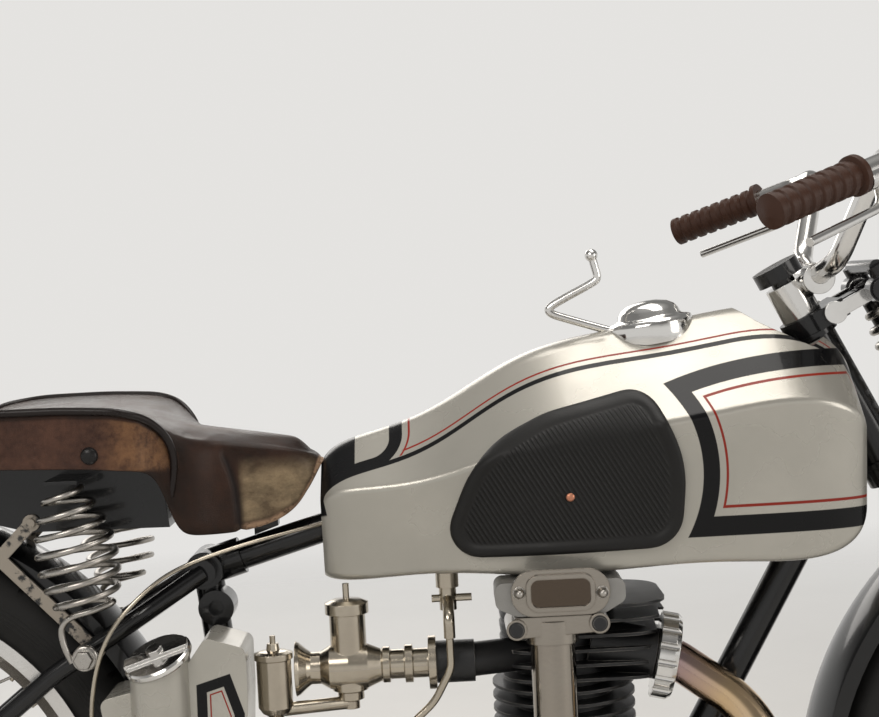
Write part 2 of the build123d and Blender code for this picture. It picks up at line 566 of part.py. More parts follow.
def engine():
    case = disc(CRANK, CRANKCASE_R, -CRANKCASE_HALF, CRANKCASE_HALF)
    case += Pos(BARREL_X, 0, (CRANK[1] + DECK_Z) / 2) * Box(124, 2 * CRANKCASE_HALF, DECK_Z - CRANK[1])
    case += disc(CRANK, 44, CRANKCASE_HALF, 68)
    save("crankcase", case)

    barrel = Pos(BARREL_X, 0, DECK_Z) * Cylinder(BARREL_R + 4, BARREL_TOP_Z - DECK_Z, align=BOTTOM)
    round_fin = Pos(BARREL_X, 0) * Circle(BARREL_FIN_R)
    barrel += fin_stack(round_fin, DECK_Z + 16, BARREL_TOP_Z - 8, BARREL_FINS)
    save("barrel", barrel)

    head = Pos(BARREL_X, 0, BARREL_TOP_Z) * Cylinder(BARREL_R + 8, HEAD_TOP_Z - BARREL_TOP_Z, align=BOTTOM)
    fin = Pos(BARREL_X + 22, 0) * RectangleRounded(176, 150, 44)
    head += fin_stack(fin, BARREL_TOP_Z + 2, HEAD_TOP_Z - 6, HEAD_FINS)
    out_run = (EXHAUST_BEND - EXHAUST_PORT).normalized()
    head -= bar(EXHAUST_PORT - out_run * 4, EXHAUST_PORT + out_run * 60, CLAMP_R + 4)
    head += bar(EXHAUST_PORT - out_run * 70, EXHAUST_PORT, EXHAUST_R + 6)
    head += bar((BARREL_X - 20, -30, INLET_Z), (INLET_X + 24, INLET_Y, INLET_Z), 18)
    head += bar((INLET_X + 40, INLET_Y, INLET_Z), (INLET_X, INLET_Y, INLET_Z), 22)
    save("cylinder_head", head)

    cover = slab([(CRANK[0] + 40, CRANK[1] - 60), (CRANK[0] + 75, CRANK[1]), (CRANK[0] + 40, CRANK[1] + 62),
                  (GEARBOX[0] + 72, 432), (GEARBOX[0] + 40, 400), (GEARBOX[0] + 60, 352), (CRANK[0] - 50, CRANK[1] - 50)],
                 -CRANKCASE_HALF - 26, -CRANKCASE_HALF, 24)
    cover += disc(CRANK, 40, TOWER_Y - 30, -CRANKCASE_HALF - 20)
    cover += bar((CRANK[0], TOWER_Y, CRANK[1]), (CRANK[0], TOWER_Y, CRANK[1] + 84), 30)
    save("timing_case", cover)

    tower = bar((CRANK[0], TOWER_Y, CRANK[1] + 84), (CRANK[0], TOWER_Y, CAM_BOX_Z - 54), TOWER_R)
    tower += bar((CRANK[0], TOWER_Y, CRANK[1] + 84), (CRANK[0], TOWER_Y, CRANK[1] + 100), TOWER_R + 5)
    save("bevel_tower", tower)

    inner_y = TOWER_Y + 30
    flange_y = COVER_Y + 9
    ends = COVER_SIZE[0] / 2 + 16
    box = slab([(COVER_X - ends, CAM_BOX_Z - 14), (COVER_X - 44, CAM_BOX_Z - 24), (COVER_X + 44, CAM_BOX_Z - 24),
                (COVER_X + ends, CAM_BOX_Z - 12), (COVER_X + ends, CAM_BOX_Z + 11), (COVER_X - ends, CAM_BOX_Z + 11)],
               flange_y + SEAT_GAP, inner_y, 9)
    box += Pos(BARREL_X, 0, HEAD_TOP_Z) * Box(110, -2 * inner_y, CAM_BOX_Z + 11 - HEAD_TOP_Z, align=BOTTOM)
    save("cam_box", box)

    cover_place = Plane(origin=(COVER_X, flange_y, CAM_BOX_Z), x_dir=(1, 0, 0), z_dir=(0, -1, 0))
    cover = cover_place * extrude(RectangleRounded(*COVER_SIZE, COVER_SIZE[1] / 2 - 1), 5)
    plaque = cover_place * extrude(RectangleRounded(70, 38, 13), flange_y - COVER_Y)
    cover += plaque - cover_place * Pos(0, 0, 6) * extrude(RectangleRounded(60, 28, 8), 20)
    for side in (1, -1):
        nut = (COVER_X + side * 42, CAM_BOX_Z - side * 1.5)
        cover += Plane(origin=(nut[0], flange_y - 4, nut[1]), z_dir=(0, -1, 0)) * extrude(RegularPolygon(5.5, 6), 5)
    sump = slab([(COVER_X - 52, CAM_BOX_Z - 46), (COVER_X + 42, CAM_BOX_Z - 42), (COVER_X + 46, CAM_BOX_Z - 24.5),
                 (COVER_X - 50, CAM_BOX_Z - 24.5)], flange_y - 2, inner_y, 6)
    for x, z in ((COVER_X - 46, CAM_BOX_Z - 36), (COVER_X + 38, CAM_BOX_Z - 33)):
        sump += disc((x, z), 10.5, flange_y - 6, inner_y)
    sump += bar((CRANK[0], TOWER_Y, CAM_BOX_Z - 54), (CRANK[0], TOWER_Y, CAM_BOX_Z - 30), TOWER_R + 4)
    save("cam_cover", cover, sump - box)

    save("magneto", disc((-85, 392), 33, -CRANKCASE_HALF + SEAT_GAP, 50) + Pos(-85, 0, 352) * Box(60, 80, 20))
    box = disc(GEARBOX, GEARBOX_R, -66, 46) + disc((GEARBOX[0] + 6, GEARBOX[1] - 4), 46, -84, -60)
    box += disc(GEARBOX, GEARBOX_SPROCKET_R - 1 - SEAT_GAP, CHAIN_Y - SPROCKET_T / 2, CHAIN_Y + SPROCKET_T / 2)
    box += disc(GEARBOX, 22, 40, 68)
    save("gearbox", box)

    case = slab([(CRANK[0] + 76, CRANK[1] - 20), (CRANK[0] + 60, CRANK[1] + 62), (CRANK[0] - 40, CRANK[1] + 72),
                 (GEARBOX[0] + 20, GEARBOX[1] + 92), (GEARBOX[0] - 70, GEARBOX[1] + 70), (GEARBOX[0] - 96, GEARBOX[1]),
                 (GEARBOX[0] - 60, GEARBOX[1] - 78), (CRANK[0] + 40, CRANK[1] - 70)],
                68, 112, 34)
    save("primary_case", case)

    near = CRADLE_FRONT
    rear_plate = slab([(GEARBOX[0] + 10, 225), (-96, 182), (-10, 182), (-10, 341.7), (GEARBOX[0] + 10, 341.7)], 28, 35)
    front_plate = slab([(140.3, 378), (172, 386), (196, 352), (165, 316), (140.3, 350)], 28, 35)
    clear = disc(CRANK, CRANKCASE_R + SEAT_GAP, -60, 60)
    clear += disc(GEARBOX, GEARBOX_R + SEAT_GAP, -60, 60)
    clear += disc(near, 20 + SEAT_GAP, -60, 60)
    plates = pair(rear_plate - clear) + pair(front_plate - clear)
    save("engine_plates", *plates)


engine()


def carburettor():
    body = turned(
        [(0, 0), (28, 0), (28, 8), (INLET_BORE_R, 9), (INLET_BORE_R, 24), (20, 25), (20, 33), (INLET_BORE_R, 34),
         (INLET_BORE_R, 48), (19, 49), (19, 56), (17, 58), (23, 72), (24, 92), (23, 112), (17, 122), (17, 132),
         (20, 136), (MIXING_R + 8, INLET_X - MOUTH_X - 4), (MIXING_R + 10, INLET_X - MOUTH_X),
         (MIXING_R, INLET_X - MOUTH_X - 1), (13, INLET_X - MOUTH_X - 14), (0, INLET_X - MOUTH_X - 14)],
        (INLET_X - SEAT_GAP, INLET_Y, INLET_Z), (-1, 0, 0))
    chamber = turned(
        [(0, -44), (9, -44), (9, -36), (14, -34), (14, -26), (MIXING_R, -24), (MIXING_R, 56), (MIXING_R + 4, 57),
         (MIXING_R + 4, 68), (MIXING_R - 3, 71), (3.5, 72), (3.5, 88), (0, 88)],
        (MIXING_X, INLET_Y, INLET_Z), (0, 0, 1))
    bowl = turned(
        [(0, -76), (8, -76), (8, -68), (FLOAT_R - 4, -64), (FLOAT_R, -58), (FLOAT_R, -9), (FLOAT_R + 2, -8),
         (FLOAT_R + 2, -2), (FLOAT_R - 4, 0), (7, 1), (6, 8), (3, 8), (3, 16), (0, 16)],
        (FLOAT_AT[0], FLOAT_AT[1], FLOAT_TOP_Z), (0, 0, 1))
    bridge = bar((MIXING_X, INLET_Y, INLET_Z - 38), (FLOAT_AT[0], FLOAT_AT[1], FLOAT_TOP_Z - 62), 7)
    save("carburettor", body + chamber + bowl + bridge)


carburettor()


# Exhaust

def exhaust():
    out_run = (EXHAUST_BEND - EXHAUST_PORT).normalized()
    start = EXHAUST_PORT + out_run * SEAT_GAP
    bore = EXHAUST_R + SEAT_GAP
    ring = turned([(bore, 0), (CLAMP_R, 1), (CLAMP_R, 17), (CLAMP_R - 4, 22), (bore + 9, 24), (bore + 6, 24)],
                  start, out_run)
    ring_place = Plane(origin=start - out_run * 2, z_dir=out_run)
    flute = Cylinder(CLAMP_R * math.pi / CLAMP_FLUTES * 0.42, 40, align=BOTTOM)
    for i in range(CLAMP_FLUTES):
        ring -= ring_place * Rot(0, 0, 360 / CLAMP_FLUTES * i) * Pos(CLAMP_R, 0, 0) * flute
    save("exhaust_clamp", ring)
    end = Vector(-170, -152, 196)
    last_bend = Vector(150, -150, 180)
    save("exhaust_pipe", bent(
        [start, EXHAUST_BEND, (268, -57, 471), (306, -90, 380), (250, -132, 245), last_bend, end],
        [60, 110, 90, 110, 90], EXHAUST_R))
    silencer = turned(
        [(bore, -16), (bore + 3, -16), (bore + 5, 4), (SILENCER_R, 50), (SILENCER_R, 370), (32, 420),
         (18, 450), (18, 486), (14, 486), (14, SEAT_GAP), (bore, SEAT_GAP)],
        end, end - last_bend)
    save("silencer", silencer)


exhaust()


# Tank

TANK_SECTIONS = [
    # x, bottom, half width at the bottom, half width at the shoulder, top, shoulder rounding
    (-172, 630, 43, 55, 745, 24),
    (-120, 627, 64, 79, 773, 36),
    (10, 631, 99, 117, 825, 42),
    (140, 633, 120, 137, 862, 46),
    (290, 633, 118, 136, 881, 46),
    (362, 640, 109, 124, 868, 42),
    (386, 656, 99, 112, 848, 36),
    (396, 684, 84, 97, 822, 30),
]
TANK_ROOF_ANGLE = 38
TANK_CROWN_R = 90
TANK_FOOT_R = 9
PAD_FIELD_DEPTH = 3     # of the sunk middle of a knee pad


def tank_section(x, bottom, foot, half, top, shoulder, grow=0):
    slope = math.radians(TANK_ROOF_ANGLE)
    crown = TANK_CROWN_R * half / 137
    apex = top + crown * (1 / math.cos(slope) - 1)
    eave = apex - half * math.tan(slope)
    outline = FilletPolyline(
        (-foot - grow, bottom), (foot + grow, bottom), (half + grow, eave), (0, apex), (-half - grow, eave),
        radius=[TANK_FOOT_R, shoulder, crown, shoulder, TANK_FOOT_R], close=True)
    return Plane(origin=(x, 0, 0), x_dir=(0, 1, 0), z_dir=(1, 0, 0)) * make_face(outline)


PAD_CORNERS = [
    # x, z, rounding
    (-53, 649, 30), (197, 656, 36), (205, 742, 120), (171, 821, 30), (66, 797, 130), (-6, 763, 120),
]
PAD_RIM = 13            # width of a knee pad's raised rim


def pad_outline(inset):
    """A knee pad's outline in the side view, drawn in by inset and pushed through the tank's side."""
    corners = [(x, z) for x, z, rounding in PAD_CORNERS]
    roundings = [rounding for x, z, rounding in PAD_CORNERS]
    face = make_face(FilletPolyline(*corners, radius=roundings, close=True))
    if inset:
        face = offset(face, -inset)
    return Plane(origin=(0, -60, 0), x_dir=(1, 0, 0), z_dir=(0, -1, 0)) * extrude(face, 140)


def fuel_tank():
    body = loft([tank_section(*row) for row in TANK_SECTIONS])
    swollen = loft([tank_section(*row, grow=TANK_SKIN_TO_PAD) for row in TANK_SECTIONS])
    roof = TOP_TUBE_R + TUNNEL_ROOM
    tunnel = slab([(-400, 590), (-400, top_tube_z(-400) + roof), (450, top_tube_z(450) + roof), (450, 590)],
                  -TUNNEL_HALF, TUNNEL_HALF)
    notch = bar(steered(0, 0, -300), steered(0, 0, 300), HEAD_ROOM_R)
    notch += STEERING * Pos(60, 0, 0) * Box(120, 2 * HEAD_ROOM_R, 600)
    notch += bar(steered(0, 0, HEAD_HALF - RUNNING_GAP), steered(0, 0, 300), CROWN_SWING_R + RUNNING_GAP)
    hollow = body - tunnel - notch
    save("fuel_tank", hollow)

    backing = loft([tank_section(*row, grow=PAD_GAP) for row in TANK_SECTIONS])
    floor = loft([tank_section(*row, grow=TANK_SKIN_TO_PAD - PAD_FIELD_DEPTH) for row in TANK_SECTIONS])
    pad = (pad_outline(0) & swollen) - backing
    pad -= pad_outline(PAD_RIM) - floor
    save("knee_pads", *pair(pad))

    cap_up = Vector(-0.14, 0, 1).normalized()
    cap_foot = Vector(193, 0, 858)
    cap_seat = cap_foot + cap_up * 12
    cap = bar(cap_foot, cap_seat, 38)
    cap += turned([(0, 0), (45, 0), (47, 3), (47, 8), (43, 12), (24, 16), (0, 17)], cap_seat, cap_up)
    cap += bar(cap_seat + Vector(-44, -12, 4), cap_seat + Vector(-44, 12, 4), 7)
    cap += bar(cap_seat + Vector(44, -12, 8), cap_seat + Vector(44, 12, 8), 7)
    cap += bent([cap_seat + Vector(-44, 0, 6), (78, 0, 898), (136, 0, 930), (129, 0, 962)], [8, 14], 4.5)
    save("filler_cap", cap - body)

    tap = bar((-43, -64, 640), (-43, -64, 616), 12) - backing
    tap += bar((-43, -64, 620), (-43, -64, 592), 9)
    tap += bar((-60, -64, 604), (-18, -64, 604), 4)
    tap += bent([(-43, -64, 606), (-43, -96, 590), (-43, -96, 568)], [12], 6)
    save("fuel_tap", tap)
    save("fuel_pipe", bent(
        [(-43, -96, 568 - SEAT_GAP), (-43, -96, 536), (-62, -96, 502), (-104, -97, 466), (-190, -97, 440),
         (*FLOAT_AT, 452), (*FLOAT_AT, FLOAT_TOP_Z - 76 - SEAT_GAP)], [30, 60, 60, 24, 8], 4))


fuel_tank()


# Saddle

def saddle():
    rear = SADDLE_REAR_X
    nose = SADDLE_NOSE_X
    top = SADDLE_TOP_Z
    half = SADDLE_HALF
    plan = make_face(FilletPolyline(
        (nose, -22), (nose, 22), (-285, 56), (-352, half), (rear, half - 12), (rear, 12 - half), (-352, -half),
        (-285, -56),
        radius=[20, 20, 60, 44, 60, 60, 44, 60], close=True))
    column = Pos(0, 0, 600) * extrude(plan, 300)
    profile = slab([(rear, top - 64), (rear, top - 32), (-520, top - 4), (-480, top), (-372, top - 4), (-332, 800),
                    (-254, 784), (-176, 768), (nose - 2, 760), (-179, 752), (-185, 722), (-199, 699), (-228, 684), (-322, 682),
                    (-330, 752), (-404, 762)], -200, 200)
    cover = column & profile
    hollow = slab([(-318, 670), (-318, 770), (-250, 768), (-196, 750), (-196, 670)], -34, 34)
    save("saddle_cover", cover - hollow)

    pan = slab([(-332, 692), (-338, 752.6), (-404, 761.5), (-520, 761.5), (-524, 706), (-480, 694)],
               -STRUT_IN, STRUT_IN)
    spring_lean = (SPRING_LOW[0] - SPRING_TOP[0]) / (SPRING_TOP[1] - SPRING_LOW[1])
    strap_z = SPRING_TOP[1] + SPRING_RADII[2] * spring_lean + SPRING_WIRE_R + SEAT_GAP
    pan += Pos(SPRING_TOP[0], 0, strap_z) * Box(34, 2 * SPRING_Y + 30, 4, align=BOTTOM)
    foot_z = top_tube_z(-235) + 17
    bracket = slab([(-248, foot_z - 3), (-222, foot_z + 6), (-222, 758.4), (-248, 767)], -9, 9)
    bracket -= bar((-400, 0, top_tube_z(-400)), (0, 0, top_tube_z(0)), TOP_TUBE_R + SEAT_GAP)
    save("saddle_pan", pan, bracket)

    low = (SPRING_LOW[0], -SPRING_Y, SPRING_LOW[1])
    high = (SPRING_TOP[0], -SPRING_Y, SPRING_TOP[1])
    spring, points = coil(low, high, SPRING_TURNS, SPRING_RADII, SPRING_WIRE_R)
    eye = Vector(SPRING_BOLT[0], -SPRING_Y, SPRING_BOLT[1])
    tail = [points[0], Vector(-442, -SPRING_Y, 600), Vector(-438, -SPRING_Y, 574), eye]
    for start, end in zip(tail, tail[1:]):
        spring += bar(start, end, SPRING_WIRE_R)
    spring += bar(eye + Vector(0, -5, 0), eye + Vector(0, 5, 0), 13)
    bolt_in = STAY_Y + SEAT_STAY_R + 2 * SEAT_GAP
    bolt = disc(SPRING_BOLT, 7, -SPRING_Y - 14, -bolt_in)
    spring -= disc(SPRING_BOLT, 7 + SEAT_GAP, -200, 0)
    save("saddle_springs", *pair(spring), *pair(bolt))

    strut_in = STRUT_IN + SEAT_GAP
    strut_out = strut_in + 4
    strut = None
    for start, end in ((STRUT_PIN, STRUT_ELBOW), (STRUT_ELBOW, SPRING_BOLT)):
        run = Vector(end[0] - start[0], 0, end[1] - start[1])
        flat_place = Plane(origin=(start[0], -(strut_in + strut_out) / 2, start[1]), x_dir=(0, 1, 0), z_dir=run)
        flat = flat_place * Box(4, 14, run.length, align=BOTTOM)
        strut = flat if strut is None else strut + flat
        strut += disc(start, 9, -strut_out, -strut_in)
    strut += disc(SPRING_BOLT, 12, SEAT_STAY_R + 2 * SEAT_GAP - STAY_Y, -strut_in)
    strut += disc(STRUT_PIN, 5, -strut_out - 4, -strut_in)
    save("saddle_struts", *pair(strut))


saddle()


# Oil tank on the right

def oil_tank():
    body = slab([(-290, 589), (-249.5, 576), (-249.5, 530), (-256, 420), (-300, 392), (-384, 420), (-400, 530),
                 (-320, 548)], OIL_TANK_OUT, OIL_TANK_IN, 9)
    lean = OIL_CAP_LEAN.normalized()
    seat = Vector(OIL_NECK_X, OIL_NECK_Y, OIL_CAP_Z)
    neck = bar((OIL_NECK_X, OIL_NECK_Y, 440), (OIL_NECK_X, OIL_NECK_Y, OIL_CAP_Z + 60), OIL_NECK_R)
    neck -= bar(seat, seat + lean * 120, 120)
    save("oil_tank", body + neck)

    lid = turned([(0, 0), (35, 0), (36, 2), (36, 6), (34, 8), (0, 8)], seat + lean * SEAT_GAP, lean)
    lid_top = Plane(origin=seat + lean * 8, x_dir=(0.95, 0, 0.31), z_dir=lean)
    lid += lid_top * Box(68, 15, 4, align=BOTTOM)
    lid += lid_top * extrude(RegularPolygon(9, 6), 9)
    save("oil_cap", lid)

    pipe_y = -SPRING_Y - 20
    pipe_top = Vector(-225, -TOP_TUBE_R - 3 - SEAT_GAP, top_tube_z(-225) + 2)
    save("oil_pipe", bent(
        [pipe_top, (-262, -62, 682), (-316, -92, 666), (-366, pipe_y, 626), (-400, pipe_y, 580), (-412, pipe_y, 530),
         (-412, pipe_y, 462), (-391.2, pipe_y, 462)], [30, 60, 60, 60, 60, 12], 3))


oil_tank()


# Controls on the frame

def kick_and_gear():
    kick = bar((GEARBOX[0] - 20, -84, GEARBOX[1]), (GEARBOX[0] - 20, -112, GEARBOX[1]), 12)
    kick += bent([(GEARBOX[0] - 20, -104, GEARBOX[1]), (GEARBOX[0] - 60, -112, GEARBOX[1] + 80),
                  (GEARBOX[0] - 64, -126, GEARBOX[1] + 150)], [60], 8)
    kick += bar((GEARBOX[0] - 64, -120, GEARBOX[1] + 150), (GEARBOX[0] - 64, -190, GEARBOX[1] + 150), 10)
    gear = bar((GEARBOX[0] + 40, -84, GEARBOX[1] - 20), (GEARBOX[0] + 40, -104, GEARBOX[1] - 20), 9)
    gear += bar((GEARBOX[0] + 40, -98, GEARBOX[1] - 20), (GEARBOX[0] + 130, -104, GEARBOX[1] - 30), 6)
    gear += bar((GEARBOX[0] + 130, -96, GEARBOX[1] - 30), (GEARBOX[0] + 130, -146, GEARBOX[1] - 30), 8)
    save("gearbox_levers", kick, gear)

    rests = [bar((-95, -128, CRADLE_Z + CRADLE_R + 8), (-95, 128, CRADLE_Z + CRADLE_R + 8), 8)]
    arm = slab([(-108, 156), (-82, 156), (-92, 292), (-118, 292)], 118, 126)
    rests[0] = rests[0] + pair(arm)
    peg = bar(PEG_ROOT, PEG_ROOT + PEG_REACH, PEG_R)
    peg += bar(PEG_ROOT, PEG_ROOT + PEG_REACH.normalized() * PEG_COLLAR_L, PEG_COLLAR_R)
    save("footrests", rests[0] + pair(peg))

    pedal = bar((-140, 60, 196), (-140, 146, 196), 11)
    foot_z = CRADLE_Z + CRADLE_R + SEAT_GAP
    pedal += slab([(-154, foot_z), (-126, foot_z), (-132, 196), (-148, 196)], 58, 66)
    pedal += bent([(-140, 138, 196), (-60, 140, 200), (40, 146, 250)], [60], 7)
    pedal += bar((36, 132, 248), (36, 182, 248), 9)
    save("brake_pedal", pedal)


kick_and_gear()


# Mudguards

def mudguard(axle, tyre_r, start, end):
    inner = tyre_r + GUARD_GAP
    outer = inner + GUARD_T
    rim = outer - GUARD_DEPTH
    profile = make_face(Curve() + [
        Line((rim, -GUARD_HALF), (outer - 10, -GUARD_HALF)),
        ThreePointArc((outer - 10, -GUARD_HALF), (outer, 0), (outer - 10, GUARD_HALF)),
        Line((outer - 10, GUARD_HALF), (rim, GUARD_HALF)),
        Line((rim, GUARD_HALF), (rim, GUARD_HALF - GUARD_T)),
        Line((rim, GUARD_HALF - GUARD_T), (inner - 10, GUARD_HALF - GUARD_T)),
        ThreePointArc((inner - 10, GUARD_HALF - GUARD_T), (inner, 0), (inner - 10, -GUARD_HALF + GUARD_T)),
        Line((inner - 10, -GUARD_HALF + GUARD_T), (rim, -GUARD_HALF + GUARD_T)),
        Line((rim, -GUARD_HALF + GUARD_T), (rim, -GUARD_HALF))])
    # The profile starts in the XZ plane, swings about the wheel's axle and is counted from the front.
    swung = revolve(Plane.XZ * profile, Axis.Z, end - start)
    # Local Z lies along world -Y so that the angle grows from forward through up.
    place = Plane(origin=axle, x_dir=(math.cos(math.radians(start)), 0, math.sin(math.radians(start))), z_dir=(0, -1, 0))
    return place * swung


def rear_guard():
    guard = mudguard(REAR_AXLE, REAR_TYRE_R, 16, 176)
    stay_top = REAR_AXLE + Vector(-300, GUARD_HALF + 5, 205)
    lug_out = AXLE_LUG_Y + AXLE_LUG_T - 4 + SEAT_GAP
    for side in (1, -1):
        foot = Vector(REAR_AXLE.X - 26, side * (lug_out + 9), REAR_AXLE.Z + 8)
        guard += bar((stay_top.X, side * (GUARD_HALF + 1), stay_top.Z), foot, 5)
        guard += bar((foot.X, side * lug_out, foot.Z), (foot.X, side * (lug_out + 15), foot.Z), 6)
    save("rear_mudguard", guard)


rear_guard()


# Steering

def fork():
    crown_low = -HEAD_HALF - CROWN_GAP
    crown_top = HEAD_HALF + CROWN_GAP
    link_x = 76
    ear = 34
    crowns = bar(steered(0, 0, crown_low - CROWN_T), steered(0, 0, crown_top + CROWN_T), STEM_R)
    for low in (crown_low - CROWN_T, crown_top):
        crowns += bar(steered(0, 0, low), steered(0, 0, low + CROWN_T), HEAD_R + 3)
        crowns += STEERING * Pos(22, 0, low + CROWN_T / 2) * Box(36, 2 * ear, CROWN_T)
    crowns += STEERING * Pos(52, 0, crown_top + 10) * Box(44, 24, 12)
    crowns += bar(steered(84, 0, crown_top - 4), steered(84, 0, crown_top + 18), 20)
    crowns += bar(steered(0, 0, crown_top + CROWN_T), steered(0, 0, crown_top + CROWN_T + 46), 13)
    crowns += bar(steered(0, 0, crown_top + CROWN_T + 46), steered(0, 0, crown_top + CROWN_T + 62), 26)
    save("fork_crowns", crowns)

    links = []
    for z in (crown_low - CROWN_T / 2, crown_top + CROWN_T / 2):
        for side in (1, -1):
            link = bar(steered(26, side * (ear + SEAT_GAP), z), steered(26, side * (ear + 8), z), 12)
            link += bar(steered(link_x, side * (ear + SEAT_GAP), z), steered(link_x, side * (ear + 8), z), 12)
            link += STEERING * Pos((26 + link_x) / 2, side * (ear + 4.2), z) * Box(link_x - 26, 7.6, 15)
            links.append(link)
    save("fork_links", *links)

    offset = 71
    axle_z = -534.5
    low_z = crown_low - CROWN_T / 2
    top_z = crown_top + CROWN_T / 2
    blade_y = ear + 20
    wheel_y = 78
    girder = None
    for side in (1, -1):
        front = bent([steered(link_x + 8, side * blade_y, top_z + 24), steered(link_x + 12, side * (blade_y + 8), low_z),
                      steered(link_x + 22, side * wheel_y, -290), steered(offset + 4, side * wheel_y, axle_z + 20)],
                     [400, 400], 11)
        rear = bent([steered(link_x - 2, side * (blade_y + 4), low_z), steered(link_x - 24, side * wheel_y, -290),
                     steered(offset - 6, side * wheel_y, axle_z + 20)], [300], 10)
        one = front + rear
        one += bar(steered(link_x, side * (ear + 8 + SEAT_GAP), top_z), steered(link_x, side * (blade_y + 12), top_z), 14)
        one += bar(steered(link_x, side * (ear + 8 + SEAT_GAP), low_z), steered(link_x, side * (blade_y + 12), low_z), 14)
        one += bar(steered(link_x - 24, side * wheel_y, -290), steered(link_x + 22, side * wheel_y, -290), 8)
        one += STEERING * Pos(offset, side * wheel_y, axle_z + 6) * Box(34, 9, 56)
        girder = one if girder is None else girder + one
    girder += bar(steered(link_x + 22, -blade_y, low_z - 22), steered(link_x + 22, blade_y, low_z - 22), 10)
    girder += bar(steered(link_x + 8, -blade_y, top_z + 22), steered(link_x + 8, blade_y, top_z + 22), 8)
    girder += bar(steered(84, 0, low_z - 32), steered(84, 0, low_z + 22), 16)
    girder -= bar((FRONT_AXLE.X, -120, FRONT_AXLE.Z), (FRONT_AXLE.X, 120, FRONT_AXLE.Z), AXLE_R + SEAT_GAP)
    save("girder_fork", girder)

    spring_low = low_z + 22
    spring_top = crown_top - 4
    room = SEAT_GAP + FORK_SPRING_WIRE_R
    spring = coil(steered(84, 0, spring_low + room), steered(84, 0, spring_top - room),
                  FORK_SPRING_TURNS, FORK_SPRING_RADII, FORK_SPRING_WIRE_R)[0]
    save("fork_spring", spring)

    axle = bar((FRONT_AXLE.X, -96, FRONT_AXLE.Z), (FRONT_AXLE.X, 96, FRONT_AXLE.Z), AXLE_R)
    for side in (1, -1):
        across = Vector(0, side, 0)
        axle += bar(FRONT_AXLE + across * (wheel_y + 5), FRONT_AXLE + across * (wheel_y + 13), 14)
        axle += bar(FRONT_AXLE + across * 61, FRONT_AXLE + across * (wheel_y - 5), 14)
    plate_y = -FRONT_DRUM_OUT - RUNNING_GAP
    axle += bar((FRONT_AXLE.X, plate_y, FRONT_AXLE.Z), (FRONT_AXLE.X, plate_y - 5, FRONT_AXLE.Z), FRONT_DRUM_R - 4)
    save("front_axle", axle)

    clamp = steered(0, 0, crown_top + CROWN_T + 20)
    bar_line = [(clamp.X + 24, 0, clamp.Z + 22), (clamp.X + 30, 90, clamp.Z + 40), (408, 150, 1036),
                (402, 214, 1030), BAR_END]
    bars = bent(bar_line, [50, 40, 36], BAR_R)
    bars = bars + mirrored(bars)
    bars += bar((clamp.X + 24, -26, clamp.Z + 22), (clamp.X + 24, 26, clamp.Z + 22), 17)
    bars += bar(steered(0, 0, crown_top + CROWN_T + SEAT_GAP), steered(0, 0, crown_top + CROWN_T + 40), 22)
    bars -= bar(steered(0, 0, crown_top), steered(0, 0, crown_top + 90), 13 + SEAT_GAP)
    save("handlebar", bars)
    bar_run = (BAR_END - Vector(402, 214, 1030)).normalized()
    grip_outline = [(0, -4)]
    for i in range(GRIP_RIBS):
        low = GRIP_L / GRIP_RIBS * i
        grip_outline += [(GRIP_R, low), (GRIP_R, low + 6), (GRIP_R - 2, low + 8), (GRIP_R - 2, low + 12)]
    grip_outline += [(GRIP_R + 3, GRIP_L), (GRIP_R + 3, GRIP_L + 6), (0, GRIP_L + 6)]
    grip = turned(grip_outline, BAR_END + bar_run * 2, bar_run * -1)
    grip -= bar(BAR_END + bar_run, BAR_END - bar_run * (GRIP_L + 20), BAR_R + SEAT_GAP)
    save("handlebar_grips", *pair(grip))
    perch = BAR_END - bar_run * (GRIP_L + 14)
    lever = bar(perch + Vector(0, 2, -8), perch - bar_run * 20 + Vector(0, 2, -8), 12)
    lever += bent([perch - bar_run * 12 + Vector(6, -4, -18), perch + Vector(14, 6, -34), BAR_END + Vector(30, 14, -30)],
                  [30], 4.5)
    lever -= bent(bar_line, [50, 40, 36], BAR_R + SEAT_GAP)
    save("hand_levers", *pair(lever))

    lamp_at = Vector(548, 0, 925)
    lamp = turned([(0, -60), (38, -54), (68, -30), (80, 4), (80, 24), (68, 36), (0, 42)], lamp_at, (1, 0, -0.02))
    eye_y = blade_y + 12 + SEAT_GAP
    for side in (1, -1):
        eye = steered(link_x, side * eye_y, top_z)
        lamp += bar(eye, eye + Vector(0, side * 6, 0), 12)
        lamp += bar(eye + Vector(0, side * 6, 0), lamp_at + Vector(10, side * 82, 0), 4.5)
        lamp += bar(lamp_at + Vector(10, side * 76, 0), lamp_at + Vector(10, side * 88, 0), 10)
    save("headlamp", lamp)

    guard = mudguard(FRONT_AXLE, FRONT_TYRE_R, 30, 200)
    for side in (1, -1):
        foot_y = side * (wheel_y - 9 - SEAT_GAP)
        guard += bar(FRONT_AXLE + Vector(-352, side * (GUARD_HALF + 3), -20), FRONT_AXLE + Vector(-20, foot_y, -14), 4.5)
        guard += bar(FRONT_AXLE + Vector(262, side * (GUARD_HALF + 3), 235), FRONT_AXLE + Vector(16, foot_y, 12), 4.5)
    save("front_mudguard", guard)


fork()

for name, shape in parts.items():
    export_step(shape, f"parts/{name}.step")
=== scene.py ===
# %% [markdown]
# A sporting single of the 1930s, dressed for its photograph.
# The solid model is loaded as a fixed frame. This file gives every piece its finish, and it
# remakes the pieces whose look needs more than a solid: the leather saddle, the wound springs,
# the rubber knee pads, the tyres, the rear chain, the oil pipe, the filler cap and the smallest
# fittings. Lengths are metres. Long outlines are typed in millimetres and divided when used.

# %% Load the frame
import json
import math

import bmesh
import bpy
from mathutils import Matrix, Vector
from mathutils.bvhtree import BVHTree


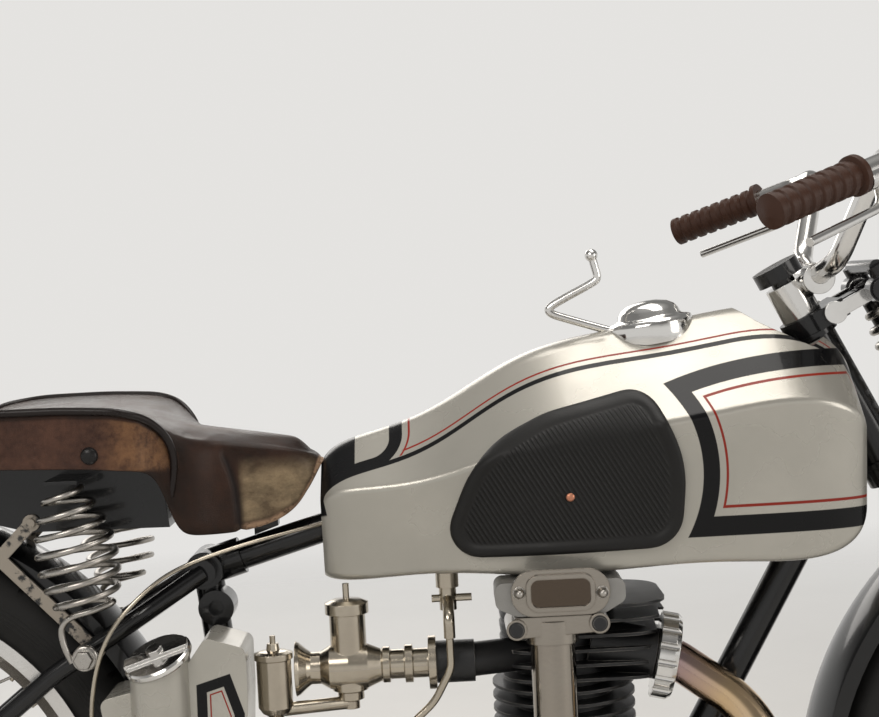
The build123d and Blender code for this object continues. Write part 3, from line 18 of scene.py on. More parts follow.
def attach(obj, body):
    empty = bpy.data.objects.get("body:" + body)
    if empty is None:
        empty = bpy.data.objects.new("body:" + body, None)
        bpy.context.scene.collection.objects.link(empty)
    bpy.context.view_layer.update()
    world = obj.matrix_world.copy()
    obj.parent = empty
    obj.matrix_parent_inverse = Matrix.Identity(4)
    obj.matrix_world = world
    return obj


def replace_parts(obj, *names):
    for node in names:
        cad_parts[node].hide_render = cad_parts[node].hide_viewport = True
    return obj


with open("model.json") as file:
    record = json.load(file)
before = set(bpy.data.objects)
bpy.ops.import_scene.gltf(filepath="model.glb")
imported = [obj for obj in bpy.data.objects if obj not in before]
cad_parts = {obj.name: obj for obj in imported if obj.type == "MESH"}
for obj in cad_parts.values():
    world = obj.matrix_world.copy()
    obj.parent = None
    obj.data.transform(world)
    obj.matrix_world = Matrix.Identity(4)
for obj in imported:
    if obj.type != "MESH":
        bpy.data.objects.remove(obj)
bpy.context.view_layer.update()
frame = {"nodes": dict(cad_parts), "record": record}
nodes = frame["nodes"]

# %% [markdown]
# The camera stands to the right of the machine, a little above the tank and level with its
# middle. It leans slightly to one side, so the ground in the picture falls to the left.
# A camera in Blender looks down its own -Z, so the turn is built from two plain rotations.

# %% Camera
PHOTO_WIDTH = 879
FOCAL_PIXELS = 1745
SENSOR_WIDTH = 36
CAMERA_PLACE = (-0.039, -1.885, 0.934)
PITCH_DOWN = math.atan(75 / FOCAL_PIXELS)
ROLL = math.radians(2.9)
TURN = 2 * math.pi


def linked(name, data):
    """A new object in the scene."""
    thing = bpy.data.objects.new(name, data)
    bpy.context.scene.collection.objects.link(thing)
    return thing


camera = linked("camera", bpy.data.cameras.new("camera"))
camera.data.sensor_width = SENSOR_WIDTH
camera.data.lens = SENSOR_WIDTH * FOCAL_PIXELS / PHOTO_WIDTH
aim = Matrix.Rotation(math.pi / 2 - PITCH_DOWN, 4, "X") @ Matrix.Rotation(-ROLL, 4, "Z")
camera.matrix_world = Matrix.Translation(CAMERA_PLACE) @ aim
bpy.context.scene.camera = camera
bpy.context.scene.view_settings.view_transform = "Standard"
print("camera lens", round(camera.data.lens, 1), "mm")

# %% [markdown]
# Shader maths reads best as plain arithmetic. `Num` wraps one number socket, and each operator
# adds the Math node that does the sum. `Finish` holds one material and adds its other nodes.

# %% Numbers and finishes
def maths(operation, swapped=False):
    """A method that adds one Math node. swapped puts the number itself last."""
    def method(self, *others):
        values = (*others, self) if swapped else (self, *others)
        return self.graph.math(operation, *values)
    return method


class Num:
    """A number in a node tree, on which + - * ** and abs work."""

    def __init__(self, graph, socket):
        self.graph, self.socket = graph, socket

    __add__ = __radd__ = maths("ADD")
    __mul__ = __rmul__ = maths("MULTIPLY")
    __sub__ = maths("SUBTRACT")
    __rsub__ = maths("SUBTRACT", swapped=True)
    __pow__ = maths("POWER")
    __abs__ = maths("ABSOLUTE")
    least = maths("MINIMUM")
    most = maths("MAXIMUM")
    sine = maths("SINE")
    root = maths("SQRT")

    def ramp(self, low, high, to_low=0.0, to_high=1.0):
        inputs = {0: self, 1: low, 2: high, 3: to_low, 4: to_high}
        node = self.graph.add("ShaderNodeMapRange", inputs, clamp=True)
        return Num(self.graph, node.outputs[0])

    def inside(self, low, high, blur=0.0003):
        """1 where the number lies between low and high, with a soft edge."""
        return self.ramp(low - blur, low + blur) * self.ramp(high + blur, high - blur)


def reach(a, b):
    """The straight distance that two differences make together."""
    return (a ** 2 + b ** 2).root()


class Graph:
    """A node tree that is written as sums and calls."""

    def feed(self, socket, value):
        if isinstance(value, Num):
            value = value.socket
        if isinstance(value, bpy.types.NodeSocket):
            self.tree.links.new(value, socket)
        elif socket.type == "RGBA" and len(value) == 3:
            socket.default_value = (*value, 1)
        else:
            socket.default_value = value

    def __init__(self, tree):
        self.tree = tree

    def add(self, kind, inputs=None, **settings):
        """A node of any kind: its settings are set first, then its inputs, which may be links."""
        node = self.tree.nodes.new(kind)
        for key, value in settings.items():
            setattr(node, key, value)
        for key, value in (inputs or {}).items():
            self.feed(node.inputs[key], value)
        return node

    def math(self, operation, *values):
        node = self.add("ShaderNodeMath", dict(enumerate(values)), operation=operation)
        return Num(self, node.outputs[0])


class Finish(Graph):
    """One material around a Principled shader."""

    def __init__(self, name, **sockets):
        self.material = bpy.data.materials.new(name)
        self.material.use_nodes = True
        self.tree = self.material.node_tree
        self.shader = self.tree.nodes["Principled BSDF"]
        self.object_place = self.add("ShaderNodeTexCoord").outputs["Object"]
        for socket, value in sockets.items():
            self.set(socket.replace("_", " ").title(), value)

    def set(self, socket, value):
        self.feed(self.shader.inputs[socket], value)
        return self

    def place(self):
        """The point's x, y and z in the machine's frame."""
        split = self.add("ShaderNodeSeparateXYZ", {0: self.object_place})
        return [Num(self, split.outputs[i]) for i in range(3)]

    def attribute(self, name):
        return Num(self, self.add("ShaderNodeAttribute", attribute_name=name).outputs["Fac"])

    def noise(self, scale, detail=3, stretch=(1, 1, 1), roughness=0.5):
        moved = self.add("ShaderNodeMapping", {0: self.object_place, 3: stretch})
        node = self.add("ShaderNodeTexNoise", {
            "Vector": moved.outputs[0], "Scale": scale, "Detail": detail, "Roughness": roughness})
        return Num(self, node.outputs[0])

    def cells(self, scale):
        """How far a point is from the edge of its cell."""
        node = self.add("ShaderNodeTexVoronoi", {"Vector": self.object_place, "Scale": scale},
                        feature="DISTANCE_TO_EDGE")
        return Num(self, node.outputs["Distance"])

    def mix(self, factor, low, high):
        node = self.add("ShaderNodeMix", {0: factor, 6: low, 7: high}, data_type="RGBA")
        return node.outputs[2]

    def rounded(self, radius=0.0012):
        """The normal of a face whose sharp edges are rubbed round."""
        return self.add("ShaderNodeBevel", {"Radius": radius}, samples=4).outputs[0]

    def edges(self, radius=0.0012):
        """1 on sharp edges, where the rounded normal leans away from the face's own."""
        own = self.add("ShaderNodeNewGeometry").outputs["Normal"]
        lean = self.add("ShaderNodeVectorMath", {0: self.rounded(radius), 1: own},
                        operation="DOT_PRODUCT")
        return (1 - Num(self, lean.outputs["Value"])).ramp(0.004, 0.12)

    def bump(self, height, distance):
        node = self.add("ShaderNodeBump", {
            "Height": height, "Distance": distance, "Normal": self.rounded()})
        return self.set("Normal", node.outputs[0])


# %% [markdown]
# Each finish is a real one: enamel under a clear shine, plated brass, cast and buffed alloy,
# stove-black iron, rubber, leather. None is a single flat colour: dust dulls the enamel in soft
# clouds, handling brightens the plating, and castings keep the grain of their sand mould.

# %% Finishes of paint and metal
SILVER = (0.47, 0.45, 0.40)
BLACK = (0.0045, 0.0045, 0.005)
PIN_RED = (0.25, 0.022, 0.013)
CHROME = (0.72, 0.71, 0.69)
# The darkened plate colour stands in for the dark reflections of the cover and the tower.
REFLECTION_DARKENED_PLATE = (0.33, 0.30, 0.26)
STAIN = (0.25, 0.2, 0.16)


def enamel(name, colour, metallic=0.0, roughness=0.3, lining=None):
    """Gloss enamel. lining is a function that paints lines over the plain colour."""
    finish = Finish(name, metallic=metallic, coat_weight=0.35, coat_roughness=0.06)
    finish.set("Specular IOR Level", 0.3)
    cloud = finish.noise(9, 4)
    dull = tuple(c * 0.84 + 0.004 for c in colour)
    paint = finish.mix(cloud.ramp(0.35, 0.7), colour, dull)
    if lining:
        paint, metal = lining(finish, paint)
        finish.set("Metallic", metal * metallic)
    finish.set("Base Color", paint)
    finish.set("Roughness", cloud.ramp(0.3, 0.75, roughness * 0.8, roughness * 1.3))
    finish.bump(finish.noise(380, 2), 0.00002)
    return finish


def plated(name, colour, roughness, stained=0.25):
    """Polished metal, with brown stains to the depth that stained gives."""
    finish = Finish(name, metallic=1.0)
    cloud = finish.noise(14, 5, roughness=0.6)
    smear = finish.noise(60, 3, stretch=(1, 1, 0.25))
    tarnish = (cloud * 0.7 + smear * 0.3).ramp(0.45, 0.8, 0, stained)
    finish.set("Base Color", finish.mix(tarnish, colour, STAIN))
    finish.set("Roughness", cloud.ramp(0.3, 0.8, roughness, roughness * 2.2 + 0.03))
    finish.bump(finish.noise(180, 3), 0.00003)
    return finish


def cast_metal(name, colour, roughness, grain, metallic=1.0, worn=None):
    """Metal as it left the mould. worn is the bare colour of rubbed edges under paint."""
    finish = Finish(name, metallic=metallic)
    cloud = finish.noise(11, 4)
    pits = finish.cells(420)
    paint = finish.mix(cloud.ramp(0.3, 0.75), colour, tuple(c * 0.55 for c in colour))
    if worn:
        bare = finish.edges() * finish.noise(40, 3).ramp(0.4, 0.62)
        paint = finish.mix(bare, paint, worn)
        finish.set("Metallic", bare)
    finish.set("Base Color", paint)
    finish.set("Roughness", cloud.ramp(0.3, 0.8, roughness, roughness + 0.18))
    finish.bump(finish.noise(500, 3) * 0.6 + pits * 0.6, grain)
    return finish


def rubber(name, colour, roughness=0.62):
    finish = Finish(name)
    finish.set("Specular IOR Level", 0.25)
    cloud = finish.noise(16, 5, roughness=0.65)
    dust = tuple(c * 0.8 + 0.008 for c in colour)
    finish.set("Base Color", finish.mix(cloud.ramp(0.45, 0.85, 0, 0.5), colour, dust))
    finish.set("Roughness", cloud.ramp(0.3, 0.8, roughness - 0.08, roughness + 0.12))
    finish.bump(finish.noise(700, 2), 0.0002)
    return finish


def repaint(node, finish):
    """Gives a piece of the solid model a finish of its own."""
    nodes[node].data.materials[0] = finish.material
    print(node, "is finished in", finish.material.name)


FINISHES = {
    "silver_paint": enamel("silver enamel", SILVER, metallic=0.35, roughness=0.34),
    "black_enamel": enamel("black enamel", BLACK, roughness=0.24),
    "chrome": plated("chrome plate", CHROME, 0.08),
    "nickel": plated("dull nickel plate", (0.48, 0.43, 0.35), 0.13, stained=0.5),
    "polished_alloy": plated("buffed alloy", (0.6, 0.57, 0.52), 0.17, stained=0.35),
    "cast_alloy": cast_metal("sand-cast alloy", (0.4, 0.39, 0.37), 0.42, 0.0003),
    "black_iron": cast_metal("stove-black iron", (0.012, 0.012, 0.013), 0.34, 0.0003, metallic=0.0,
                             worn=(0.42, 0.4, 0.37)),
    "rubber": rubber("black rubber", (0.016, 0.015, 0.015)),
    # The grips are black rubber; their brown colour is painted warm light.
    "grip_rubber": rubber("brown rubber", (0.05, 0.02, 0.011), 0.45),
    "tyre": rubber("tyre rubber", (0.02, 0.02, 0.02), 0.7),
    "leather": rubber("saddle leather base", (0.06, 0.03, 0.018), 0.45),
    "steel": plated("bright steel", (0.43, 0.41, 0.38), 0.18, stained=0.45),
}
for row in frame["record"]["subparts"]:
    piece = nodes[row["node"]]
    piece.data.materials.clear()
    piece.data.materials.append(FINISHES[row["material_slot"]].material)
print(len(FINISHES), "finishes for", len(nodes), "solid pieces")

# %% [markdown]
# The tank's lines are drawn from distances. Each side panel is the space that lies outside a
# circle at its rear, under a long arc, over its bottom edge and behind the nose. The least of
# those four distances is how deep a point is inside the panel, so a broad black band and a thin
# red pinline are just two ranges of it. The lines stay crisp however close the camera comes.
# A line also runs along the roof, and a horseshoe of it closes round the tank's rear.

# %% Tank lining
PANEL_REAR = (0.0835, 0.731, 0.138)
PANEL_TOP = (0.345, 0.378, 0.468)
PANEL_BOTTOM_Z = 0.6635
PANEL_BOTTOM_SCALE = 0.81
NOSE_FRONT = (0.392, 0.044)
BAND = 0.0168
PIN = (0.0233, 0.0258)
STRIP_HALF = 0.059
STRIP_LINE = 0.0055
HORSESHOE_X = -0.083
HORSESHOE_ROUND = 0.032
HORSESHOE_PIN = (-0.0085, -0.0062)
TAIL_PATCH_X = -0.134
TAIL_PATCH_EDGE = 0.012
ROOF_X, ROOF_Z, ROOF_SLOPE = -0.15, 0.7, 0.25


def lined(finish, paint, black, red):
    """Adds black and red lines. Returns the paint and how much of its metal still shows."""
    paint = finish.mix(black, paint, BLACK)
    return finish.mix(red * (1 - black), paint, PIN_RED), 1 - black.most(red)


def tank_lining(finish, paint):
    x, y, z = finish.place()
    across = abs(y)
    depth = reach(x - PANEL_REAR[0], z - PANEL_REAR[1]) - PANEL_REAR[2]
    depth = depth.least(PANEL_TOP[2] - reach(x - PANEL_TOP[0], z - PANEL_TOP[1]))
    depth = depth.least((z - PANEL_BOTTOM_Z) * PANEL_BOTTOM_SCALE)
    depth = depth.least(across - NOSE_FRONT[1] + (NOSE_FRONT[0] - x))

    edge = STRIP_HALF - across
    behind = HORSESHOE_X - x
    corner = reach((HORSESHOE_ROUND - behind).most(0), (HORSESHOE_ROUND - edge).most(0))
    shoe = (HORSESHOE_ROUND - corner).least(edge.most(-STRIP_LINE)).least(behind)
    on_roof = (z - ROOF_Z + (x - ROOF_X) * -ROOF_SLOPE).ramp(-0.001, 0.001)
    ahead = x.ramp(HORSESHOE_X - 0.001, HORSESHOE_X + 0.001)
    strip_red = edge.inside(STRIP_LINE * 1.9, STRIP_LINE * 2.3) * ahead
    shoe_red = shoe.inside(*HORSESHOE_PIN) * edge.ramp(STRIP_LINE, STRIP_LINE * 1.2)
    tail = (0 - x).ramp(-TAIL_PATCH_X, 0.0005 - TAIL_PATCH_X)
    tail = tail * edge.ramp(TAIL_PATCH_EDGE, TAIL_PATCH_EDGE + 0.0005)
    roof_black = edge.inside(0, STRIP_LINE).most(shoe.inside(0, BAND * 0.85)).most(tail)
    black = depth.inside(0, BAND).most(roof_black * on_roof)
    red = depth.inside(*PIN).most(strip_red.most(shoe_red) * on_roof)
    return lined(finish, paint, black, red)


def lined_enamel(name, lining):
    """Silver enamel with painted lines, whose black must stay black under the lamps."""
    finish = enamel(name, SILVER, metallic=0.5, roughness=0.27, lining=lining)
    return finish.set("Specular IOR Level", 0.1).set("Coat Weight", 0.22)


repaint("fuel_tank", lined_enamel("tank enamel and lining", tank_lining))

# %% [markdown]
# The pieces that follow are remade because a solid can't show them: leather, wound wire, moulded
# rubber. Each is a run of closed rings of points with faces between them, which keeps the mesh
# even, so it bends well and shades smoothly. A curve object would be less work for the wires
# alone, and the wires do use one, turned into a mesh at the end.

# %% Helpers that make and settle a piece
def mesh_of(sheet):
    """Turns a bmesh into a mesh."""
    mesh = bpy.data.meshes.new("piece")
    sheet.to_mesh(mesh)
    sheet.free()
    return mesh


def skin(rings, ends=True):
    """A mesh with a face between each pair of neighbouring points of neighbouring rings."""
    sheet = bmesh.new()
    rows = [[sheet.verts.new(point) for point in ring] for ring in rings]
    count = len(rings[0])
    for low, high in zip(rows, rows[1:]):
        for i in range(count):
            j = (i + 1) % count
            sheet.faces.new((low[i], low[j], high[j], high[i]))
    if ends:
        sheet.faces.new(rows[0][::-1])
        sheet.faces.new(rows[-1])
    bmesh.ops.remove_doubles(sheet, verts=sheet.verts, dist=0.00005)
    flat = [face for face in sheet.faces if face.calc_area() < 1e-11]
    bmesh.ops.delete(sheet, geom=flat, context="FACES_ONLY")
    bmesh.ops.recalc_face_normals(sheet, faces=sheet.faces)
    return mesh_of(sheet)


def joined(*meshes):
    sheet = bmesh.new()
    for mesh in meshes:
        sheet.from_mesh(mesh)
    return mesh_of(sheet)


def mirrored(mesh):
    """The mesh with its left-hand copy."""
    other = mesh.copy()
    other.transform(Matrix.Diagonal((1, -1, 1, 1)))
    other.flip_normals()
    return joined(mesh, other)


def settle(name, mesh, body, slot, finish=None, sharp=None):
    """Gives a mesh its finish and a body to ride on."""
    thing = linked(name, mesh)
    mesh.materials.clear()
    mesh.materials.append((finish or FINISHES[slot]).material)
    mesh.polygons.foreach_set("use_smooth", [True] * len(mesh.polygons))
    if sharp:
        mesh.set_sharp_from_angle(angle=math.radians(sharp))
    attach(thing, body)
    print(name, len(mesh.polygons), "faces")
    return thing


def along(table, x):
    """Reads a value from a table of (x, value) rows, with straight lines between them."""
    if x <= table[0][0]:
        return table[0][1]
    for (low_x, low), (high_x, high) in zip(table, table[1:]):
        if x <= high_x:
            return low + (high - low) * (x - low_x) / (high_x - low_x)
    return table[-1][1]


def smooth_step(value, low, high):
    t = min(1, max(0, (value - low) / (high - low)))
    return t * t * (3 - 2 * t)


def wire(points, radius, closed=False, order=3, steps=4):
    """A round wire along points, as a mesh."""
    curve = bpy.data.curves.new("wire", "CURVE")
    curve.dimensions = "3D"
    curve.bevel_depth = radius
    curve.bevel_resolution = 3
    curve.resolution_u = steps
    curve.use_fill_caps = not closed
    spline = curve.splines.new("NURBS")
    spline.points.add(len(points) - 1)
    for knot, place in zip(spline.points, points):
        knot.co = (*place, 1)
    spline.use_cyclic_u = closed
    spline.order_u = order
    spline.use_endpoint_u = not closed
    holder = bpy.data.objects.new("wire", curve)
    mesh = bpy.data.meshes.new_from_object(holder)
    bpy.data.objects.remove(holder)
    return mesh


def lathed(profile, centre=(0, 0, 0), axis=(0, 0, 1), count=48):
    """A solid of revolution from (radius, height) points, its ends on or off the axis."""
    turn = Vector((0, 0, 1)).rotation_difference(Vector(axis).normalized())
    ways = [(math.cos(TURN * i / count), math.sin(TURN * i / count)) for i in range(count)]
    return skin([[Vector(centre) + turn @ Vector((radius * x, radius * y, height)) for x, y in ways]
                 for radius, height in profile])


def drum(radius, low, high):
    """The profile of a plain cylinder, for lathed."""
    return [(0, low), (radius, low), (radius, high), (0, high)]


def spoke(angle):
    """The direction at an angle round a wheel's axle."""
    return Vector((math.cos(angle), 0, math.sin(angle)))


def evaluated(thing):
    """The mesh that an object's modifiers make."""
    return bpy.data.meshes.new_from_object(
        thing.evaluated_get(bpy.context.evaluated_depsgraph_get()))


def subdivided(mesh, levels):
    holder = linked("cage", mesh)
    holder.modifiers.new("finer", "SUBSURF").levels = levels
    finer = evaluated(holder)
    bpy.data.objects.remove(holder)
    return finer

# %% [markdown]
# The saddle is one hide stretched over a sprung steel frame. Its outline is a broad horseshoe
# that narrows to a nose, so the rings follow that outline and shrink towards a spine. Tables
# give the height of the spine, the rim, the lower edge and the underside at each x, in
# millimetres. They were measured on the photograph.

# %% Saddle cage
SADDLE_OUTLINE = [
    (-551, 0), (-551, 30), (-550, 60), (-546, 86), (-536, 106), (-518, 119), (-495, 126),
    (-460, 130), (-425, 133), (-392, 135), (-370, 136), (-356, 133), (-343, 125), (-331, 113),
    (-319, 100), (-307, 87), (-295, 75), (-281, 65), (-263, 57), (-241, 50), (-216, 43),
    (-194, 35), (-178, 25), (-170, 13), (-168, 0)]
SADDLE_SPINE = [
    (-551, 806), (-520, 814), (-450, 816), (-380, 815), (-348, 806), (-306, 794), (-254, 786),
    (-191, 776), (-176, 770), (-168, 762)]
SADDLE_RIM = [
    (-551, 812), (-536, 819), (-500, 824), (-421, 824), (-371, 821), (-346, 815), (-332, 804),
    (-323, 792), (-312, 780), (-300, 775), (-254, 767), (-200, 757), (-178, 750), (-168, 746)]
SADDLE_LOW = [
    (-551, 769), (-484, 766), (-404, 764), (-344, 758), (-332, 750), (-324, 722), (-318, 686),
    (-300, 682), (-269, 680), (-227, 685), (-197, 700), (-182, 724), (-172, 752)]
SADDLE_UNDER = [
    (-551, 776), (-520, 768), (-340, 768), (-318, 772), (-250, 771), (-200, 760), (-168, 757)]
SPINE_ENDS = (-470, -205)
NOSE_STARTS = (-336, -300)
RIM_LIFT = 3
CROWN_POWER = 2.2


def saddle_ring(rear_share, nose_share, height):
    """One ring. The shares say how far it lies from the spine to the outline, rear and nose."""
    ring = []
    left = [(x, -y) for x, y in SADDLE_OUTLINE[-2:0:-1]]
    for x, y in SADDLE_OUTLINE + left:
        spine_x = min(max(x, SPINE_ENDS[0]), SPINE_ENDS[1])
        nose = smooth_step(x, *NOSE_STARTS)
        share = rear_share + (nose_share - rear_share) * nose
        at_x = spine_x + (x - spine_x) * share
        ring.append(Vector((at_x, y * share, height(at_x, x, nose))) / 1000)
    return ring


def top_at(share):
    def height(at_x, x, nose):
        spine = along(SADDLE_SPINE, at_x)
        return spine + (along(SADDLE_RIM, x) + RIM_LIFT - spine) * share ** CROWN_POWER
    return height


def side_at(part):
    def height(at_x, x, nose):
        low = along(SADDLE_LOW, x)
        return low + (along(SADDLE_RIM, x) - low) * part
    return height


def saddle_cage():
    rings = [
        saddle_ring(0.0, 0.0, lambda at_x, x, nose: along(SADDLE_UNDER, at_x)),
        saddle_ring(0.5, 0.35, lambda at_x, x, nose: along(SADDLE_UNDER, at_x)),
        saddle_ring(0.88, 0.6, lambda at_x, x, nose: along(SADDLE_UNDER, at_x) - 3),
        saddle_ring(0.92, 0.68, lambda at_x, x, nose: along(SADDLE_LOW, x) + 3 + 5 * nose),
        saddle_ring(0.985, 0.93, side_at(0.0)),
        saddle_ring(1.0, 1.03, side_at(0.05)),
        saddle_ring(0.99, 1.0, side_at(0.3)),
        saddle_ring(0.985, 0.99, side_at(0.7)),
        saddle_ring(1.0, 0.96, side_at(0.98)),
        saddle_ring(0.97, 0.86, lambda at_x, x, nose: along(SADDLE_RIM, x) + RIM_LIFT + 8 * nose),
        saddle_ring(0.86, 0.7, top_at(0.82)),
        saddle_ring(0.6, 0.48, top_at(0.58)),
        saddle_ring(0.3, 0.24, top_at(0.3)),
        saddle_ring(0.0, 0.0, lambda at_x, x, nose: along(SADDLE_SPINE, at_x))]
    return skin(rings, ends=False)


saddle_mesh = subdivided(saddle_cage(), 2)
print("saddle cage", len(saddle_mesh.vertices), "points")

# %% [markdown]
# Stretched leather never lies in straight lines: it is pulled by the rim and pushed by the
# padding. Cloth with a little air pressure inside gives that. The skirt and the underside are
# pinned, and no point may move further than a few millimetres, so the saddle keeps its size.

# %% Saddle stretched as cloth
SADDLE_PRESSURE = 4
SADDLE_SWELL = 0.006
CLOTH_FRAMES = 20
RIM_HELD = 5
UNDER_HELD = 3
SKIRT_HELD = (0.05, 0.3)


def stretched(mesh, held, pressure, swell):
    """Blows a closed mesh up as cloth. held(point) is 1 where the cloth may not move."""
    holder = linked("hide", mesh)
    rest = [vertex.co.copy() for vertex in mesh.vertices]
    pins = holder.vertex_groups.new(name="held")
    for i, point in enumerate(rest):
        pins.add([i], held(point), "REPLACE")
    modifier = holder.modifiers.new("hide", "CLOTH")
    cloth = modifier.settings
    cloth.use_pressure = True
    cloth.uniform_pressure_force = pressure
    cloth.vertex_group_mass = "held"
    cloth.effector_weights.gravity = 0
    cloth.tension_stiffness = 30
    cloth.bending_stiffness = 2
    modifier.point_cache.frame_start = 1
    modifier.point_cache.frame_end = CLOTH_FRAMES
    for step in range(1, CLOTH_FRAMES + 1):
        bpy.context.scene.frame_set(step)
    moved = evaluated(holder)
    furthest = 0
    for vertex, start in zip(moved.vertices, rest):
        shift = vertex.co - start
        if shift.length > swell:
            shift *= swell / shift.length
        vertex.co = start + shift * (1 - held(start))
        furthest = max(furthest, shift.length)
    bpy.data.objects.remove(holder)
    bpy.context.scene.frame_set(1)
    print("cloth moved at most", round(furthest * 1000, 1), "mm")
    return moved


def saddle_held(point):
    """1 on the underside and the skirt, and nearly so along the rim."""
    x, z = point.x * 1000, point.z * 1000
    height = (z - along(SADDLE_LOW, x)) / (along(SADDLE_RIM, x) - along(SADDLE_LOW, x))
    rim = max(0, 1 - abs(z - along(SADDLE_RIM, x)) / RIM_HELD)
    rim *= 1 - smooth_step(x, *NOSE_STARTS)
    under = 1 if z < along(SADDLE_UNDER, x) + UNDER_HELD and height > 0.2 else 0
    return min(1, max(under, rim, 1 - smooth_step(height, *SKIRT_HELD)))


saddle_mesh = stretched(saddle_mesh, saddle_held, SADDLE_PRESSURE, SADDLE_SWELL)
saddle_mesh = subdivided(saddle_mesh, 1)

# %% [markdown]
# The nose has one long crease where the hide bends round the frame: it is pressed in, and
# painted dark as shade. Riders' legs have rubbed the middle of the nose pale gold, which is
# partly a painted highlight too. Its lip is painted bright as a highlight, and the skirt's front
# is bronze, partly wear and partly painted light. The skirt's steep sides are painted a lighter
# brown than the top, as painted light. These marks are worked out once for each point and kept
# as attributes, which the leather reads.

# %% Saddle crease, wear and painted light
CREASE = [(681, -257), (705, -258), (729, -260), (748, -264), (766, -270)]
CREASE_WIDTH = 3.2
CREASE_DEPTH = 0.0022
CREASE_TOP_Z = (776, 755)
FLANK_Y = (12, 30)
LIP_X, LIP_TOP = (-266, -246), (7, 12)
GOLD_X, GOLD_TOP_Z, GOLD_FOOT = (-259, -249), (738, 764), (8, 16)
SKIRT_END_X, SKIRT_TOP, SKIRT_FOOT_Z = (-330, -310), (-9, -6), (758, 762)
SKIRT_STEEP = (0.45, 0.7)
BRONZE_X = (-402, -335)


def mark_saddle(mesh):
    """Works out each kind of wear and painted light at each point, and presses the crease in."""
    marks = []
    inward = [-vertex.normal for vertex in mesh.vertices]
    for vertex, into in zip(mesh.vertices, inward):
        x, y, z = vertex.co * 1000
        above_lip, above_rim = z - along(SADDLE_LOW, x), z - along(SADDLE_RIM, x)
        flank = smooth_step(abs(y), *FLANK_Y)
        off_crease = (x - along(CREASE, z)) / CREASE_WIDTH
        crease = math.exp(-off_crease ** 2) * flank * smooth_step(z, *CREASE_TOP_Z)
        lip = (1 - smooth_step(above_lip, *LIP_TOP)) * smooth_step(x, *LIP_X)
        gold_wear_and_highlight = smooth_step(x, *GOLD_X) * (1 - smooth_step(z, *GOLD_TOP_Z))
        gold_wear_and_highlight *= smooth_step(above_lip, *GOLD_FOOT) * flank
        # The skirt mark is strongest where the side is steep, so its lighter brown is painted
        # light.
        skirt = (1 - smooth_step(x, *SKIRT_END_X)) * (1 - smooth_step(above_rim, *SKIRT_TOP))
        skirt *= smooth_step(z, *SKIRT_FOOT_Z) * (1 - smooth_step(abs(into.z), *SKIRT_STEEP))
        marks.append((gold_wear_and_highlight, lip, skirt * smooth_step(x, *BRONZE_X), crease, skirt))
        vertex.co += into * (CREASE_DEPTH * crease)
    for name, values in zip(("gold_wear_and_highlight", "lip", "bronze_wear_and_light", "crease", "skirt"), zip(*marks)):
        mesh.attributes.new(name, "FLOAT", "POINT").data.foreach_set("value", values)
    print("wear marked on", len(mesh.vertices), "points")


mark_saddle(saddle_mesh)


def waxed_leather():
    finish = Finish("waxed leather", coat_weight=0.1, coat_roughness=0.25)
    finish.set("Specular IOR Level", 0.16)
    mark = finish.attribute
    cloud = finish.noise(26, 6, roughness=0.65)
    fine = finish.noise(140, 4, roughness=0.7)
    pores = finish.cells(700)
    worn = (cloud * 0.6 + fine * 0.4).ramp(0.36, 0.62)
    rubbed = finish.noise(34, 6, roughness=0.68, stretch=(1, 1, 1.5)).ramp(0.36, 0.66)
    tone = finish.mix(cloud.ramp(0.35, 0.7), (0.017, 0.009, 0.006), (0.045, 0.020, 0.012))
    brown = finish.mix(worn, (0.05, 0.024, 0.017), (0.11, 0.052, 0.034))
    # Painted light among these: the skirt's lighter brown, part of the bronze and the gold, the
    # lip's bright edge as a painted highlight, and the dark crease as painted shade.
    for share, colour in ((mark("skirt"), brown),
                          (mark("bronze_wear_and_light") * worn, (0.30, 0.155, 0.07)),
                          (mark("gold_wear_and_highlight") * rubbed.ramp(0, 1, 0.3, 1), (0.35, 0.26, 0.155)),
                          (mark("lip") * fine.ramp(0.3, 0.5), (0.42, 0.27, 0.17)),
                          (mark("crease"), (0.012, 0.007, 0.006))):
        tone = finish.mix(share, tone, colour)
    finish.set("Base Color", tone)
    finish.set("Roughness", cloud.ramp(0.3, 0.75, 0.3, 0.5))
    finish.bump(fine * 0.6 + pores.ramp(0, 0.12) * 0.5 + cloud * 1.4, 0.0006)
    return finish


saddle = settle("saddle_hide", saddle_mesh, "frame", "leather", waxed_leather())
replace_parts(saddle, "saddle_cover")

# %% [markdown]
# The hide is gathered into a rolled bead that runs round the rim and turns down in front of the
# skirt. It is a wire of leather, laid over the rim so that the join is hidden. Two large buttons
# hold each skirt to the frame.

# %% Saddle bead and buttons
BEAD_LAST_X = -331
BEAD_TAIL = [(-321, 105, 790), (-316, 99, 770), (-318, 98, 748), (-323, 98, 728)]
BEAD_RADIUS = 0.0042
BUTTON = [
    (0.0, 0.0052), (0.003, 0.0052), (0.0068, 0.0042), (0.0088, 0.002), (0.0094, -0.002),
    (0.0, -0.002)]
BUTTON_PLACES = ((-0.396, -0.1335, 0.7785), (-0.500, -0.124, 0.7785))


def saddle_bead():
    half = [(x, y, along(SADDLE_RIM, x) + 1) for x, y in SADDLE_OUTLINE if x <= BEAD_LAST_X]
    half += BEAD_TAIL
    full = [(x, -y, z) for x, y, z in reversed(half[1:])] + half
    return wire([Vector(point) / 1000 for point in full], BEAD_RADIUS, steps=3)


settle("saddle_bead", saddle_bead(), "frame", "leather",
       rubber("polished bead", (0.012, 0.008, 0.007), 0.3))
buttons = [lathed(BUTTON, place, (0, -1, 0), 24) for place in BUTTON_PLACES]
settle("saddle_buttons", mirrored(joined(*buttons)), "frame", "leather",
       rubber("polished horn", (0.01, 0.009, 0.009), 0.25))

# %% [markdown]
# Each knee pad is one moulding of soft rubber, held to the tank by a screw. It has a fat round
# rim, and its sunk middle is ribbed so that a knee doesn't slide. The outline is a polygon with
# rounded corners. Rings step inward from it, and every point is laid on the side of the tank by
# a ray cast from outside, then lifted by the height that a pad has at that distance inside.

